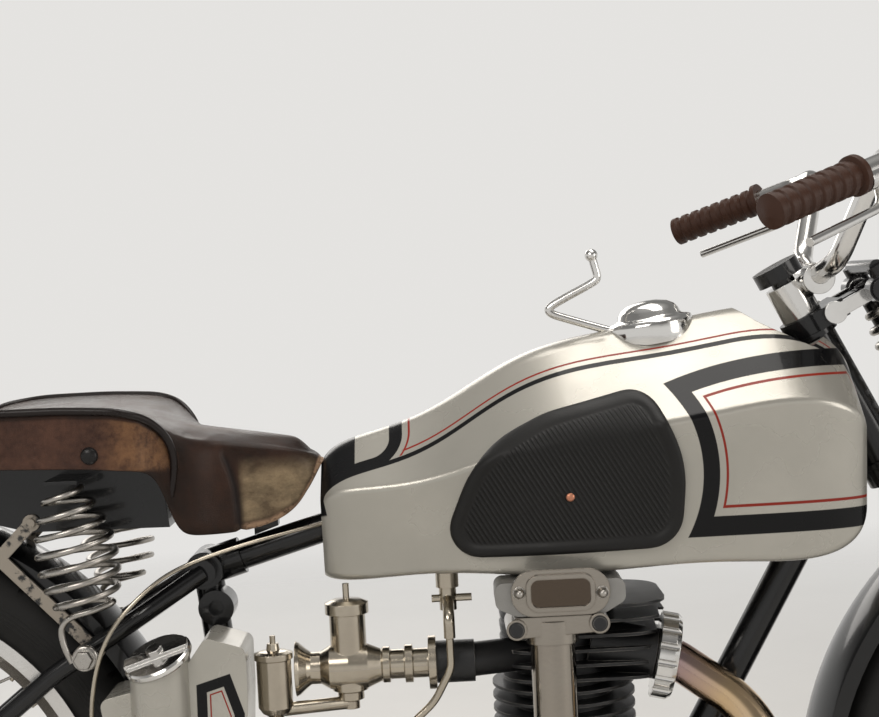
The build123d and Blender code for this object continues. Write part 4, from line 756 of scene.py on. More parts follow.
# %% Knee pads
PAD_CORNERS = [
    (-53, 649, 30), (197, 656, 36), (205, 742, 120), (171, 821, 30), (66, 797, 130),
    (-6, 763, 120)]
PAD_HEIGHTS = [
    (0.0, 0.9), (0.0, 4.5), (0.8, 6.6), (2.4, 8.2), (4.6, 9.0), (7.0, 9.1), (9.4, 8.6),
    (11.6, 7.4), (13.4, 6.4), (15.0, 6.0), (17.0, 5.9)]
PAD_INNER_SHARES = (0.86, 0.7, 0.5, 0.3, 0.12)
PAD_RIB_PITCH = 0.0046
PAD_RIB_START = (14, 18)
PAD_SCREW_PLACE = (86, 712, 5.6)
PAD_SCREW = [(0.0, 0.0022), (0.002, 0.002), (0.0042, 0.0012), (0.005, -0.001), (0.0, -0.001)]


def rounded_outline(corners, step=6):
    """Points and inward directions along a polygon whose corners have their own roundings."""
    line = []
    count = len(corners)
    for i in range(count):
        before, here, after = (Vector(corners[(i + k) % count][:2]) for k in (-1, 0, 1))
        into, out = (before - here).normalized(), (after - here).normalized()
        half = math.acos(max(-1, min(1, into.dot(out)))) / 2
        radius = corners[i][2]
        centre = here + (into + out).normalized() * (radius / math.sin(half))
        first = here + into * (radius / math.tan(half)) - centre
        sweep = math.pi - 2 * half
        for k in range(step + 1):
            spun = Matrix.Rotation(sweep * k / step, 2) @ first
            line.append((centre + spun, -spun.normalized()))
    return line


def evenly(line, spacing):
    """The same outline with points at an even spacing."""
    points = []
    for (p, n), (q, m) in zip(line, line[1:] + line[:1]):
        runs = max(1, round((q - p).length / spacing))
        points += [(p.lerp(q, k / runs), n.lerp(m, k / runs).normalized()) for k in range(runs)]
    return points


def surface_finder(node):
    sheet = bmesh.new()
    sheet.from_mesh(node.data)
    tree = BVHTree.FromBMesh(sheet)
    sheet.free()
    return tree


tank_surface = surface_finder(nodes["fuel_tank"])


def on_tank(x, z, lift):
    """A point this far outside the tank's right side, all in millimetres."""
    hit = tank_surface.ray_cast(Vector((x / 1000, -0.4, z / 1000)), Vector((0, 1, 0)))[0]
    return Vector((x / 1000, hit.y - lift / 1000, z / 1000))


def knee_pad():
    outline = evenly(rounded_outline(PAD_CORNERS), 5)
    rings = [[on_tank(*(p + n * inset), lift) for p, n in outline] for inset, lift in PAD_HEIGHTS]
    middle = sum((p for p, n in outline), Vector((0, 0))) / len(outline)
    inner = PAD_HEIGHTS[-1]
    for share in PAD_INNER_SHARES:
        rings.append([on_tank(*middle.lerp(p + n * inner[0], share), inner[1]) for p, n in outline])
    mesh = skin(rings)
    ribbed = []
    for vertex in mesh.vertices:
        spot = Vector((vertex.co.x, vertex.co.z)) * 1000
        nearest = min((spot - p).length for p, n in outline[::2])
        ribbed.append(smooth_step(nearest, *PAD_RIB_START))
    mesh.attributes.new("ribbed", "FLOAT", "POINT").data.foreach_set("value", ribbed)
    return mesh


def pad_rubber():
    finish = rubber("knee pad rubber", (0.011, 0.0105, 0.010), 0.5)
    x, y, z = finish.place()
    rib = ((x * 0.866 + z * 0.5) * (TURN / PAD_RIB_PITCH)).sine().ramp(-0.5, 0.9)
    finish.bump(rib * finish.attribute("ribbed") + finish.noise(420, 3) * 0.15, 0.0011)
    return finish


pads = settle("knee_pad_mouldings", mirrored(subdivided(knee_pad(), 1)), "frame", "rubber",
              pad_rubber())
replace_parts(pads, "knee_pads")
screw = lathed(PAD_SCREW, on_tank(*PAD_SCREW_PLACE), (0, -1, 0), 20)
settle("knee_pad_screws", mirrored(screw), "frame", "steel",
       plated("copper", (0.55, 0.24, 0.15), 0.25))

# %% [markdown]
# The springs are wound from one bright wire. A spiral is only a circle that climbs while its
# radius changes, so a single formula serves the saddle's barrel springs and the fork's. The wire
# is a NURBS curve through the spiral's points, given its thickness and turned into a mesh. A
# saddle spring ends in an eye, which a bolt, a washer and a nut hold.

# %% Springs
SPRING_Y = -0.106
SPRING_WIRE, EYE_WIRE, FORK_WIRE = 0.0034, 0.0038, 0.0046
SPRING_COIL = ((-0.412, SPRING_Y, 0.618), (-0.430, SPRING_Y, 0.742), 7, (0.028, 0.040, 0.018))
SPRING_TAIL = [(-0.4315, 0.564), (-0.4365, 0.574), (-0.441, 0.590), (-0.4405, 0.603),
               (-0.430, 0.612), (-0.408, 0.616)]
EYE_MIDDLE = (-0.418, 0.568)
EYE_RADIUS = 0.0105
EYE_NUT = [(0, 0), (0.0102, 0), (0.0102, 0.0054), (0.0092, 0.0066), (0.0, 0.0066)]
EYE_FIXINGS = ((drum(0.0068, 0, 0.0335), -0.0835, 20), (drum(0.0118, 0, 0.0016), -0.112, 24),
               (EYE_NUT, -0.1135, 6))


def spiral(low, high, turns, radii, per_turn=16):
    """Points up a coil. radii are at its low end, its middle and its high end."""
    low, high = Vector(low), Vector(high)
    turn = Vector((0, 0, 1)).rotation_difference((high - low).normalized())
    first, middle, last = radii
    points = []
    count = turns * per_turn
    for i in range(count + 1):
        t = i / count
        radius = first * (1 - t) * (1 - 2 * t) + 4 * middle * t * (1 - t) + last * t * (2 * t - 1)
        angle = TURN * turns * t
        flat = Vector((radius * math.cos(angle), radius * math.sin(angle), 0))
        points.append(low.lerp(high, t) + turn @ flat)
    return points


def saddle_spring():
    tail = [Vector((x, SPRING_Y, z)) for x, z in SPRING_TAIL]
    coil = wire(tail + spiral(*SPRING_COIL)[1:], SPRING_WIRE)
    x, z = EYE_MIDDLE
    ring = [Vector((x, SPRING_Y, z)) + spoke(TURN * k / 12) * EYE_RADIUS for k in range(12)]
    fixings = [lathed(profile, (x, y, z), (0, -1, 0), sides) for profile, y, sides in EYE_FIXINGS]
    return joined(coil, wire(ring, EYE_WIRE, closed=True), *fixings)


wound_springs = settle("saddle_spring_coils", mirrored(saddle_spring()), "frame", "steel", sharp=40)
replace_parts(wound_springs, "saddle_springs")

RAKE = math.radians(27)
HEAD = Vector((0.4, 0, 0.79))
STEERING_UP = Vector((-math.sin(RAKE), 0, math.cos(RAKE)))
STEERING_AHEAD = Vector((math.cos(RAKE), 0, math.sin(RAKE)))
FORK_SPRING_AHEAD = 84
FORK_SPRING_ENDS = (-63.5, 71.5)
FORK_SPRING_TURNS = 8
FORK_SPRING_RADII = (0.015, 0.029, 0.019)
fork_ends = [HEAD + (STEERING_AHEAD * FORK_SPRING_AHEAD + STEERING_UP * up) / 1000
             for up in FORK_SPRING_ENDS]
fork_coil = wire(spiral(*fork_ends, FORK_SPRING_TURNS, FORK_SPRING_RADII), FORK_WIRE)
fork_wound = settle("fork_spring_coil", fork_coil, "fork", "steel")
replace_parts(fork_wound, "fork_spring")

# %% [markdown]
# A tyre is the same section all the way round, so it is a run of section rings. Lowering the
# tread between its ribs, and at every other step of a rib, cuts the pattern without a texture.
# The front tyre of such a machine has plain ribs to hold a line, and the rear has blocks to pull.

# %% Tyres
TREAD_RIBS = [(-0.34, -0.235), (-0.195, -0.10), (-0.055, 0.055), (0.10, 0.195), (0.235, 0.34)]
TREAD_EDGE = 0.34
TREAD_DEPTH = 0.0042
GROOVE_SLOPE = 0.006
SIDE_STEPS = 9
WIDEST_AT = 0.54
BEAD_HALF = 0.0237
CROWN_FALL = 0.009
HOOPS = (0.285, 0.303, 0.001)
HOOP_PITCH = 0.0042


def tyre_section(bead, crown, width, cut):
    """(radius, y) points of one section. cut(rib) tells how much of a rib is left."""
    edge, shoulder = bead + 0.013, crown - CROWN_FALL
    side = []
    for i in range(SIDE_STEPS):
        t = i / SIDE_STEPS
        if t < WIDEST_AT:
            y = width / 2 - (width / 2 - BEAD_HALF) * ((WIDEST_AT - t) / WIDEST_AT) ** 2
        else:
            fall = (t - WIDEST_AT) / (1 - WIDEST_AT)
            y = width / 2 - width * (0.5 - TREAD_EDGE) * fall ** 2
        side.append((edge + (shoulder - edge) * t, y))
    tread = []
    for number, (left, right) in enumerate(TREAD_RIBS):
        for at, top in ((left - GROOVE_SLOPE, 0), (left, 1), ((left + right) / 2, 1), (right, 1),
                        (right + GROOVE_SLOPE, 0)):
            if abs(at) <= TREAD_EDGE:
                surface = crown - CROWN_FALL * (at / TREAD_EDGE) ** 2
                tread.append((surface - TREAD_DEPTH * (1 - top * cut(number)), at * width))
    foot = bead + 0.0004
    return ([(foot, BEAD_HALF)] + side + [(r, y) for r, y in reversed(tread)]
            + [(r, -y) for r, y in reversed(side)] + [(foot, -BEAD_HALF)])


def tyre(centre, bead, crown, width, blocks, phases):
    rings = []
    for i in range(blocks):
        for at, even, odd in phases:
            ray = spoke(TURN * (i + at) / blocks)
            section = tyre_section(bead, crown, width, lambda rib: odd if rib % 2 else even)
            rings.append([Vector(centre) + ray * r + Vector((0, y, 0)) for r, y in section])
    return skin(rings + rings[:1], ends=False)


def tyre_rubber(name, centre):
    finish = rubber(name, (0.014, 0.0135, 0.013), 0.66)
    x, y, z = finish.place()
    out = reach(x - centre[0], z - centre[2])
    hoop = (out * (TURN / HOOP_PITCH)).sine().ramp(0.2, 0.9) * out.inside(*HOOPS)
    finish.bump(hoop + finish.noise(300, 3) * 0.3, 0.0004)
    return finish


# A tread is a run of phases: where one starts, and whether even and odd ribs stand there.
RIBBED = [(0.0, 1, 1)]
BLOCKED = [
    (0.0, 1, 1), (0.30, 1, 1), (0.34, 0, 1), (0.46, 0, 1), (0.5, 1, 1), (0.80, 1, 1), (0.84, 1, 0),
    (0.96, 1, 0)]
# Each wheel: its hub, the bead's and the crown's radius, the width, its blocks and its tread.
WHEELS = {
    "front_wheel": ((0.706, 0, 0.346), 0.2667, 0.3459, 0.079, 220, RIBBED),
    "rear_wheel": ((-0.685, 0, 0.364), 0.254, 0.3379, 0.084, 62, BLOCKED)}
for body, sizes in WHEELS.items():
    cover = settle(body + "_cover", tyre(*sizes), body, "tyre",
                   tyre_rubber(body + " rubber", sizes[0]), sharp=35)
    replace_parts(cover, body + "_tyre")

# %% [markdown]
# Screws, spoke nipples and chain links are one small piece many times over. A node group puts
# copies of a piece on points. Each point knows which way its copy faces and which way it lies,
# so the same group serves a ring of screws and a chain that bends round two sprockets. The
# copies are made real and turned into one mesh, which then rides on its body like any other.

# %% Repeats
def repeat_group():
    graph = Graph(bpy.data.node_groups.new("repeat", "GeometryNodeTree"))
    for name, kind in (("Points", "Geometry"), ("Piece", "Object"), ("Loose turn", "Float"),
                       ("Seed", "Int"), ("Finish", "Material"), ("Copies", "Geometry")):
        way = "OUTPUT" if name == "Copies" else "INPUT"
        graph.tree.interface.new_socket(name, in_out=way, socket_type="NodeSocket" + kind)

    def made(kind, inputs, output=0, **settings):
        return graph.add(kind, inputs, **settings).outputs[output]

    def direction(name):
        return made("GeometryNodeInputNamedAttribute", {"Name": name}, data_type="FLOAT_VECTOR")

    given = graph.add("NodeGroupInput").outputs
    turn = made("FunctionNodeAlignRotationToVector", {"Vector": direction("facing")}, axis="Z")
    turn = made("FunctionNodeAlignRotationToVector",
                {"Rotation": turn, "Vector": direction("along")}, axis="X", pivot_axis="Z")
    piece = made("GeometryNodeObjectInfo", {"Object": given["Piece"]}, "Geometry")
    points = made("GeometryNodeMeshToPoints", {"Mesh": given["Points"]})
    copies = made("GeometryNodeInstanceOnPoints",
                  {"Points": points, "Instance": piece, "Rotation": turn})
    chance = made("FunctionNodeRandomValue", {"Seed": given["Seed"]}, 1, data_type="FLOAT")
    amount = made("ShaderNodeMath", {0: chance, 1: given["Loose turn"]}, operation="MULTIPLY")
    spin = made("ShaderNodeCombineXYZ", {"Z": amount})
    copies = made("GeometryNodeRotateInstances", {"Instances": copies, "Rotation": spin})
    copies = made("GeometryNodeRealizeInstances", {0: copies})
    copies = made("GeometryNodeSetMaterial", {"Geometry": copies, "Material": given["Finish"]})
    graph.add("NodeGroupOutput", {0: copies})
    return graph.tree


REPEAT = repeat_group()


def repeated(piece, spots, slot, loose_turn=0.0, seed=1):
    """One mesh with a copy of piece at each (place, facing, along) spot."""
    points = bpy.data.meshes.new("spots")
    points.from_pydata([spot[0] for spot in spots], [], [])
    for index, key in ((1, "facing"), (2, "along")):
        values = [part for spot in spots for part in spot[index]]
        points.attributes.new(key, "FLOAT_VECTOR", "POINT").data.foreach_set("vector", values)
    pattern, holder = linked("pattern", piece), linked("holder", points)
    modifier = holder.modifiers.new("repeat", "NODES")
    modifier.node_group = REPEAT
    wanted = {"Piece": pattern, "Loose turn": loose_turn, "Seed": seed,
              "Finish": FINISHES[slot].material}
    for socket in REPEAT.interface.items_tree:
        if socket.name in wanted:
            modifier[socket.identifier] = wanted[socket.name]
    mesh = evaluated(holder)
    for thing in (pattern, holder):
        bpy.data.objects.remove(thing)
    return mesh


# %% [markdown]
# Cover screws are turned from bar: a cheese head with a rounded edge and a sawn slot. The slot
# makes each one lie at its own angle, because nobody lines them up.

# %% Cover screws
SCREW_RADIUS, SCREW_HEIGHT = 0.0052, 0.0036
SCREW_SEED = 7
OUTLINE_STEP = 3
TIMING_CORNERS = [
    (102, 212, 24), (137, 272, 24), (102, 334, 24), (-93, 432, 24), (-125, 400, 24),
    (-105, 352, 24), (12, 222, 24)]
PRIMARY_CORNERS = [
    (138, 252, 34), (122, 334, 34), (22, 344, 34), (-145, 392, 34), (-235, 370, 34),
    (-261, 300, 34), (-225, 222, 34), (102, 202, 34)]
GEARBOX_FACE = (-159, -84, 296)
GEARBOX_SCREW_RING = 38
GEARBOX_SCREWS = 6


def screw_head():
    """A cheese-head screw that stands on z = 0."""
    radius, height = SCREW_RADIUS, SCREW_HEIGHT
    return lathed([(0.0, -0.0006), (radius, -0.0006), (radius, height * 0.7),
                   (radius * 0.86, height), (0.0, height)], count=20)


def screw_slot():
    """The dark slot in its top, along x."""
    groove = bmesh.new()
    size = Matrix.Diagonal((SCREW_RADIUS * 1.7, SCREW_RADIUS * 0.24, 0.0004, 1))
    lift = Matrix.Translation((0, 0, SCREW_HEIGHT + 0.00015))
    bmesh.ops.create_cube(groove, size=1, matrix=lift @ size)
    return mesh_of(groove)


def outward(place, side=-1):
    """A spot that faces the machine's right (-1) or left (1)."""
    return Vector(place), (0, side, 0), (1, 0, 0)


def ring_of(corners, inset, spacing, y, side):
    """Screw places along a rounded outline in the x-z plane, given in millimetres."""
    line = evenly(rounded_outline(corners), OUTLINE_STEP)[::round(spacing / OUTLINE_STEP)]
    places = [p + n * inset for p, n in line]
    return [outward(Vector((at.x, y, at.y)) / 1000, side) for at in places]


cover_spots = ring_of(TIMING_CORNERS, 9, 48, -72, -1) + ring_of(PRIMARY_CORNERS, 10, 66, 112, 1)
for i in range(GEARBOX_SCREWS):
    ray = spoke(TURN * (i + 0.5) / GEARBOX_SCREWS)
    cover_spots.append(outward((Vector(GEARBOX_FACE) + ray * GEARBOX_SCREW_RING) / 1000))
heads = repeated(screw_head(), cover_spots, "steel", TURN, SCREW_SEED)
settle("cover_screws", heads, "frame", "steel", sharp=40)
slots = repeated(screw_slot(), cover_spots, "black_enamel", TURN, SCREW_SEED)
settle("cover_screw_slots", slots, "frame", "black_enamel")

# %% [markdown]
# Every spoke ends in a nipple that pulls it tight through the rim. Forty stand round each wheel,
# alternately towards the left and right flange.

# %% Spoke nipples
NIPPLE_COUNT = 40
NIPPLE = [(0, -0.001), (0.0031, -0.001), (0.0031, 0.0035), (0.0024, 0.0045), (0.0024, 0.0115),
          (0, 0.0115)]
NIPPLE_INSET = 0.0148
NIPPLE_OFFSET = 0.0045
for body, (hub, bead, *others) in WHEELS.items():
    spots = []
    for i in range(NIPPLE_COUNT):
        ray = spoke(TURN * i / NIPPLE_COUNT)
        lean = Vector((0, 1 if i % 2 else -1, 0))
        foot = Vector(hub) + ray * (bead - NIPPLE_INSET) + lean * NIPPLE_OFFSET
        spots.append((foot, (lean * 0.1 - ray).normalized(), (0, 1, 0)))
    nipples = repeated(lathed(NIPPLE, count=10), spots, "nickel")
    settle(body + "_nipples", nipples, body, "nickel", sharp=40)

# %% [markdown]
# A roller chain is a row of two kinds of link: inner ones, which hold the rollers, and outer
# ones, whose pins go through them. The links stand at an even pitch along the loop that two
# sprockets and two straight runs make, so the loop is measured first.

# %% Rear chain
CHAIN_Y = 0.057
CHAIN_PITCH = 0.015875
REAR_SPROCKET = (Vector((-0.685, 0.364)), 0.108)
GEARBOX_SPROCKET = (Vector((-0.165, 0.300)), 0.048)
ARC_STEPS = 40
PLATE_HALF = 0.0068


def chain_spots():
    """An even number of (place, facing, along) spots round both sprockets."""
    (rear, big), (front, small) = REAR_SPROCKET, GEARBOX_SPROCKET
    span = front - rear
    tilt = math.atan2(span.y, span.x)
    opening = math.acos((big - small) / span.length)
    line = []
    for centre, radius, start, sweep in ((rear, big, tilt + opening, TURN - 2 * opening),
                                         (front, small, tilt - opening, 2 * opening)):
        for i in range(ARC_STEPS + 1):
            angle = start + sweep * i / ARC_STEPS
            line.append(centre + Vector((math.cos(angle), math.sin(angle))) * radius)
    lengths = [0]
    for p, q in zip(line, line[1:] + line[:1]):
        lengths.append(lengths[-1] + (q - p).length)
    count = 2 * round(lengths[-1] / CHAIN_PITCH / 2)
    spots = []
    k = 0
    for i in range(count):
        wanted = lengths[-1] * i / count
        while lengths[k + 1] < wanted:
            k += 1
        p, q = line[k % len(line)], line[(k + 1) % len(line)]
        way = (q - p).normalized()
        place = p + way * (wanted - lengths[k])
        spots.append((Vector((place.x, CHAIN_Y, place.y)), (0, 1, 0), (way.x, 0, way.y)))
    return spots


def link_plate(low, high):
    """A plate with two round ends and a waist, between two heights."""
    ring = []
    for side in (1, -1):
        for i in range(9):
            angle = math.pi / 2 * (1 - side * i / 4)
            ring.append((side * CHAIN_PITCH / 2 + PLATE_HALF * 0.9 * math.cos(angle),
                         PLATE_HALF * math.sin(angle)))
        ring.append((0, -side * PLATE_HALF * 0.72))
    return skin([[Vector((x, y, z)) for x, y in ring] for z in (low, high)])


def link(inner, outer, bar_radius, bar_half):
    """Two plates, from inner to outer on both sides, and the two bars between them."""
    bar = drum(bar_radius, -bar_half, bar_half)
    bars = [lathed(bar, (side * CHAIN_PITCH / 2, 0, 0), count=10) for side in (1, -1)]
    return joined(link_plate(inner, outer), link_plate(-outer, -inner), *bars)


links = chain_spots()
outer_links = repeated(link(0.0060, 0.0075, 0.0022, 0.0079), links[::2], "steel")
inner_links = repeated(link(0.0040, 0.0055, 0.0050, 0.0038), links[1::2], "steel")
rear_chain = settle("rear_chain_links", joined(outer_links, inner_links), "frame", "steel",
                    cast_metal("oiled chain", (0.16, 0.15, 0.135), 0.3, 0.0001), sharp=40)
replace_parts(rear_chain, "rear_chain")

# %% [markdown]
# The oil tank carries a small panel of its own, which follows its front edge: a black band
# outside, a red pinline within. Its five straight sides are five distances, so the least of them
# is again the depth inside the panel.

# %% Oil tank panel
OIL_PANEL = [
    (-0.301, 0.5415), (-0.2665, 0.5515), (-0.2535, 0.510), (-0.259, 0.425), (-0.303, 0.408)]
OIL_BAND = 0.0105
OIL_PIN = (0.0132, 0.0147)
OIL_OUTER_Y = (0.125, 0.127)


def oil_lining(finish, paint):
    x, y, z = finish.place()
    depth = None
    for (x1, z1), (x2, z2) in zip(OIL_PANEL, OIL_PANEL[1:] + OIL_PANEL[:1]):
        run_x, run_z = x2 - x1, z2 - z1
        side = ((x - x1) * run_z - (z - z1) * run_x) * (1 / math.hypot(run_x, run_z))
        depth = depth.least(side) if depth else side
    outside = (0 - y).ramp(*OIL_OUTER_Y)
    black, red = depth.inside(0, OIL_BAND) * outside, depth.inside(*OIL_PIN) * outside
    return lined(finish, paint, black, red)


repaint("oil_tank", lined_enamel("oil tank enamel and lining", oil_lining))

# %% [markdown]
# Heat colours the plating of an exhaust: straw and brown where it leaves the port, then clear.
# The headlamp keeps a plated rim and a ribbed glass in front of its reflector.

# %% Exhaust colour and headlamp glass
EXHAUST_PORT = (0.174, 0.530)
LAMP_PLACE = (0.548, 0, 0.925)
LAMP_AIM = (1, 0, -0.02)
LAMP_RIM = [
    (0.0803, 0.004), (0.0812, 0.006), (0.0812, 0.0235), (0.0775, 0.0285), (0.0695, 0.0375),
    (0.0672, 0.0380), (0.0655, 0.0362), (0.0675, 0.0355)]
LAMP_GLASS = [
    (0.0, 0.0462), (0.02, 0.0456), (0.04, 0.0438), (0.056, 0.0410), (0.0664, 0.0378),
    (0.0664, 0.0362), (0.0, 0.0425)]
LAMP_RIB_PITCH = 0.0075


def heated_chrome():
    finish = plated("heated chrome", CHROME, 0.09)
    x, y, z = finish.place()
    out = reach(x - EXHAUST_PORT[0], z - EXHAUST_PORT[1]) + finish.noise(20, 3) * 0.02
    tint = finish.mix(out.ramp(0.03, 0.09), (0.34, 0.24, 0.26), (0.62, 0.45, 0.27))
    return finish.set("Base Color", finish.mix(out.ramp(0.10, 0.34), tint, (0.72, 0.69, 0.64)))


def ribbed_glass():
    finish = Finish("ribbed lamp glass", metallic=0.55, roughness=0.12, coat_weight=1.0,
                    coat_roughness=0.03)
    x, y, z = finish.place()
    rib = (y * (TURN / LAMP_RIB_PITCH)).sine().ramp(-1, 1)
    finish.set("Base Color", finish.mix(rib, (0.42, 0.43, 0.43), (0.62, 0.63, 0.62)))
    return finish.bump(rib, 0.0012)


repaint("exhaust_pipe", heated_chrome())
settle("headlamp_rim", lathed(LAMP_RIM, LAMP_PLACE, LAMP_AIM, 64), "fork", "chrome")
settle("headlamp_glass", lathed(LAMP_GLASS, LAMP_PLACE, LAMP_AIM, 64), "fork", "chrome",
       ribbed_glass())

# %% [markdown]
# The oil pipe is soft drawn tube, bent by hand, so it has no straight runs and no sharp bends:
# a smooth curve through a few points. It leaves the tank's foot, rises beside the saddle spring
# and follows the top tube until it is out of sight under the fuel tank.

# %% Oil pipe
OIL_PIPE_RUN = [
    (-391, -126, 462), (-409, -126, 463), (-412, -126, 476), (-412, -126, 505), (-408, -126, 546),
    (-393, -126, 592), (-369, -122, 620), (-336, -108, 648), (-303, -90, 660), (-258, -60, 670),
    (-217, -36, 676), (-177, -22, 683), (-138, -19, 690)]
OIL_PIPE_RADIUS = 0.0023
pipe = wire([Vector(point) / 1000 for point in OIL_PIPE_RUN], OIL_PIPE_RADIUS, order=4, steps=6)
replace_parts(settle("oil_pipe_run", pipe, "frame", "nickel"), "oil_pipe")

# %% [markdown]
# Three pieces have a finish of their own. The camshaft cover is buffed bright, its plate is
# darkened as a painted dark reflection, its edges are browned by grime, and its framed recess is
# painted dark brown as shade. The saddle struts have lost most of their enamel to boots.
# The drive tower is a plated tube in the same darkened plate, kept brighter than the small
# fittings.

# %% Cover, struts and tower
COVER_MIDDLE = (0.071, 0.617)
COVER_RECESS = (0.030, 0.014, 0.008)
RECESS_FACE_Y = -0.1415
GRIME_AND_SHADE_BROWN = (0.085, 0.062, 0.045)


def cover_alloy():
    finish = plated("buffed cover alloy", REFLECTION_DARKENED_PLATE, 0.1, stained=0.3)
    x, y, z = finish.place()
    half_x, half_z, corner = COVER_RECESS
    past_x = (abs(x - COVER_MIDDLE[0]) - (half_x - corner)).most(0)
    past_z = (abs(z - COVER_MIDDLE[1]) - (half_z - corner)).most(0)
    inside = (corner - reach(past_x, past_z)).ramp(-0.0008, 0.0004)
    # The recess is painted dark brown as shade; the edges take half as much of it as grime.
    sunk_shade = inside * y.ramp(RECESS_FACE_Y - 0.0003, RECESS_FACE_Y + 0.0003)
    grime_and_shade = (finish.edges(0.002) * 0.5).most(sunk_shade * 0.92)
    return finish.set("Base Color", finish.mix(grime_and_shade, REFLECTION_DARKENED_PLATE, GRIME_AND_SHADE_BROWN))


def worn_enamel():
    finish = Finish("worn strut enamel", coat_weight=0.2, coat_roughness=0.2)
    chips = finish.noise(55, 5, roughness=0.7).ramp(0.40, 0.47)
    finish.set("Base Color", finish.mix(chips, BLACK, (0.34, 0.30, 0.25)))
    finish.set("Metallic", chips * 0.8)
    finish.set("Roughness", chips.ramp(0, 1, 0.3, 0.45))
    finish.bump(chips * -1.0 + finish.noise(300, 3) * 0.3, 0.00015)
    return finish


repaint("cam_cover", cover_alloy())
repaint("saddle_struts", worn_enamel())
# The tower's darkened plate colour is a painted dark reflection.
repaint("bevel_tower", plated("tower plate", REFLECTION_DARKENED_PLATE, 0.06, stained=0.3))

# %% [markdown]
# The filler cap is a deep plated drum with a domed top, thrown open and shut by a bent lever
# with a knob on each end. It's turned as one profile, which gives the dome its soft shoulder.

# %% Filler cap
CAP_SEAT = (0.193, 0, 0.858)
CAP_AXIS = (-0.14, 0, 1)
CAP_PROFILE = [
    (0.0450, 0.001), (0.0458, 0.004), (0.0466, 0.011), (0.0466, 0.021), (0.0450, 0.0255),
    (0.0405, 0.0272), (0.0360, 0.0280), (0.0345, 0.0300), (0.0330, 0.0345), (0.0290, 0.0395),
    (0.0220, 0.0435), (0.0120, 0.0462), (0.0, 0.0470)]
LEVER_RUN = [
    (152, 872), (136, 877), (100, 889), (83, 895), (80, 901), (96, 910), (130, 926), (136, 931),
    (134, 940), (130, 956)]
KNOB = [
    (0.0, -0.0070), (0.0040, -0.0058), (0.0066, -0.0025), (0.0070, 0.0010), (0.0058, 0.0045),
    (0.0030, 0.0066), (0.0, 0.0070)]
LEVER_RADIUS = 0.0046
cap = lathed(CAP_PROFILE, CAP_SEAT, CAP_AXIS, 56)
run = [Vector((x, 0, z)) / 1000 for x, z in LEVER_RUN]
lever = wire(run, LEVER_RADIUS, steps=6)
knobs = [lathed(KNOB, place, (0, 1, 0), 20) for place in (run[-1], run[0])]
cap_and_lever = settle("filler_cap_and_lever", joined(cap, lever, *knobs), "frame", "chrome",
                       sharp=50)
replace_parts(cap_and_lever, "filler_cap")

# %% [markdown]
# Four fixings hold the camshaft covers. The upper two are acorn nuts, whose closed dome keeps
# the stud's end dry. The lower two are plain blackened plugs, which sit in round bosses.

# %% Camshaft cover fixings
ACORN = [
    (0.0, -0.0010), (0.0066, -0.0010), (0.0066, 0.0008), (0.0054, 0.0010), (0.0054, 0.0042),
    (0.0046, 0.0052), (0.0044, 0.0072), (0.0032, 0.0096), (0.0015, 0.0106), (0.0, 0.0108)]
PLUG = [(0.0, -0.0006), (0.0082, -0.0006), (0.0082, 0.0008), (0.0068, 0.0024), (0.0, 0.0030)]
ACORN_PLACES = ((0.029, -0.139, 0.6185), (0.113, -0.139, 0.6155))
PLUG_PLACES = ((0.025, -0.1402, 0.581), (0.109, -0.1402, 0.584))
nuts = repeated(lathed(ACORN, count=18), [outward(place) for place in ACORN_PLACES], "steel")
settle("cam_cover_nuts", nuts, "frame", "steel", sharp=35)
plugs = repeated(lathed(PLUG, count=24), [outward(place) for place in PLUG_PLACES], "black_iron")
settle("cam_cover_plugs", plugs, "frame", "black_iron", sharp=35)

# %% [markdown]
# A pale floor and a soft, even studio. The floor fades out a few steps away, so one pale tone
# lies behind the machine from every side. The camera, the plating and any glass see that tone
# near the horizon and a darker ceiling above it, which gives bright metal a dark line to show
# its shape by. Everything else gets a plain, weaker light from the surroundings.

# %% Floor and light
FLOOR_TONE = (0.78, 0.77, 0.75)
FLOOR_HALF = 6
FLOOR_FADE = (1.7, 4.6)
SURROUND_TONE = (0.36, 0.355, 0.345)
SKY_STOPS = ((0.0, 0.78), (0.585, 0.78), (0.68, 0.26), (0.85, 0.22), (1.0, 0.5))
LAMP_COLOUR = (1.0, 0.965, 0.92)
# Each softbox: its place, the height it is turned towards, its two sides and its power.
SOFTBOXES = {
    "key": ((-1.6, -2.6, 2.9), 0.7, (2.2, 1.2), 50),
    "top": ((0.4, 0.2, 3.2), 0.7, (2.8, 1.2), 38),
    "front fill": ((3.2, -1.8, 1.5), 0.6, (1.4, 1.8), 24),
    "far fill": ((-1.0, 3.2, 2.2), 0.6, (2.4, 1.6), 30)}


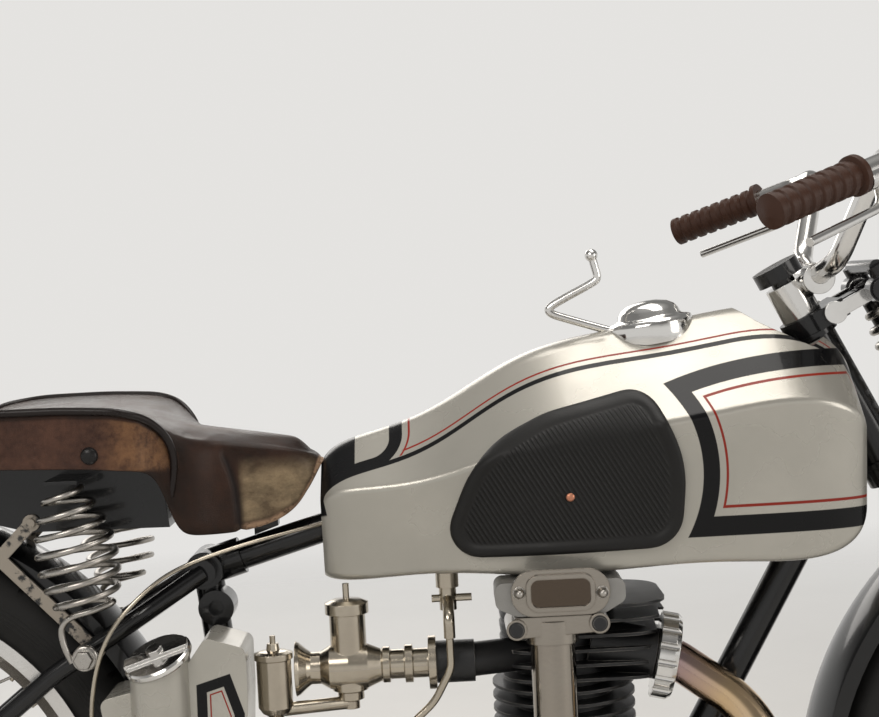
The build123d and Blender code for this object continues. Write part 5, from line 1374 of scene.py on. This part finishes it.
def stage_floor():
    mesh = bpy.data.meshes.new("floor")
    size = FLOOR_HALF
    mesh.from_pydata([(-size, -size, 0), (size, -size, 0), (size, size, 0), (-size, size, 0)], [],
                     [(0, 1, 2, 3)])
    floor = linked("floor", mesh)
    finish = Finish("pale floor", roughness=0.7)
    soft = tuple(c * 0.96 for c in FLOOR_TONE)
    finish.set("Base Color", finish.mix(finish.noise(3, 3).ramp(0.3, 0.7), FLOOR_TONE, soft))
    x, y, z = finish.place()
    finish.set("Alpha", reach(x, y).ramp(*FLOOR_FADE, 1, 0))
    floor.data.materials.append(finish.material)


def studio_world():
    """A world whose pale backdrop is seen, while a plain weaker tone does the lighting."""
    world = bpy.data.worlds.new("studio")
    world.use_nodes = True
    bpy.context.scene.world = world
    graph = Graph(world.node_tree)
    ray = graph.add("ShaderNodeLightPath").outputs
    camera_ray, glossy_ray, glass_ray = (
        Num(graph, ray["Is %s Ray" % kind]) for kind in ("Camera", "Glossy", "Transmission"))
    seen = (camera_ray + glossy_ray + glass_ray).least(1)
    place = graph.add("ShaderNodeTexCoord").outputs["Generated"]
    split = graph.add("ShaderNodeSeparateXYZ", {0: place})
    height = Num(graph, split.outputs[2]).ramp(-1, 1)
    ramp = graph.add("ShaderNodeValToRGB", {0: height})
    while len(ramp.color_ramp.elements) < len(SKY_STOPS):
        ramp.color_ramp.elements.new(0.5)
    for element, (at, tone) in zip(ramp.color_ramp.elements, SKY_STOPS):
        element.position = at
        element.color = (tone, tone * 0.985, tone * 0.96, 1)
    tone = graph.add("ShaderNodeMix", {0: seen, 6: SURROUND_TONE, 7: ramp.outputs[0]},
                     data_type="RGBA")
    graph.feed(graph.tree.nodes["Background"].inputs[0], tone.outputs[2])


stage_floor()
studio_world()
for name, (place, height, sides, power) in SOFTBOXES.items():
    lamp = bpy.data.lights.new(name, "AREA")
    lamp.shape = "RECTANGLE"
    lamp.size, lamp.size_y = sides
    lamp.energy = power
    lamp.color = LAMP_COLOUR
    turn = (Vector(place) - Vector((0, 0, height))).to_track_quat("Z", "Y").to_matrix().to_4x4()
    linked(name, lamp).matrix_world = Matrix.Translation(place) @ turn
print("softboxes:", ", ".join(SOFTBOXES))
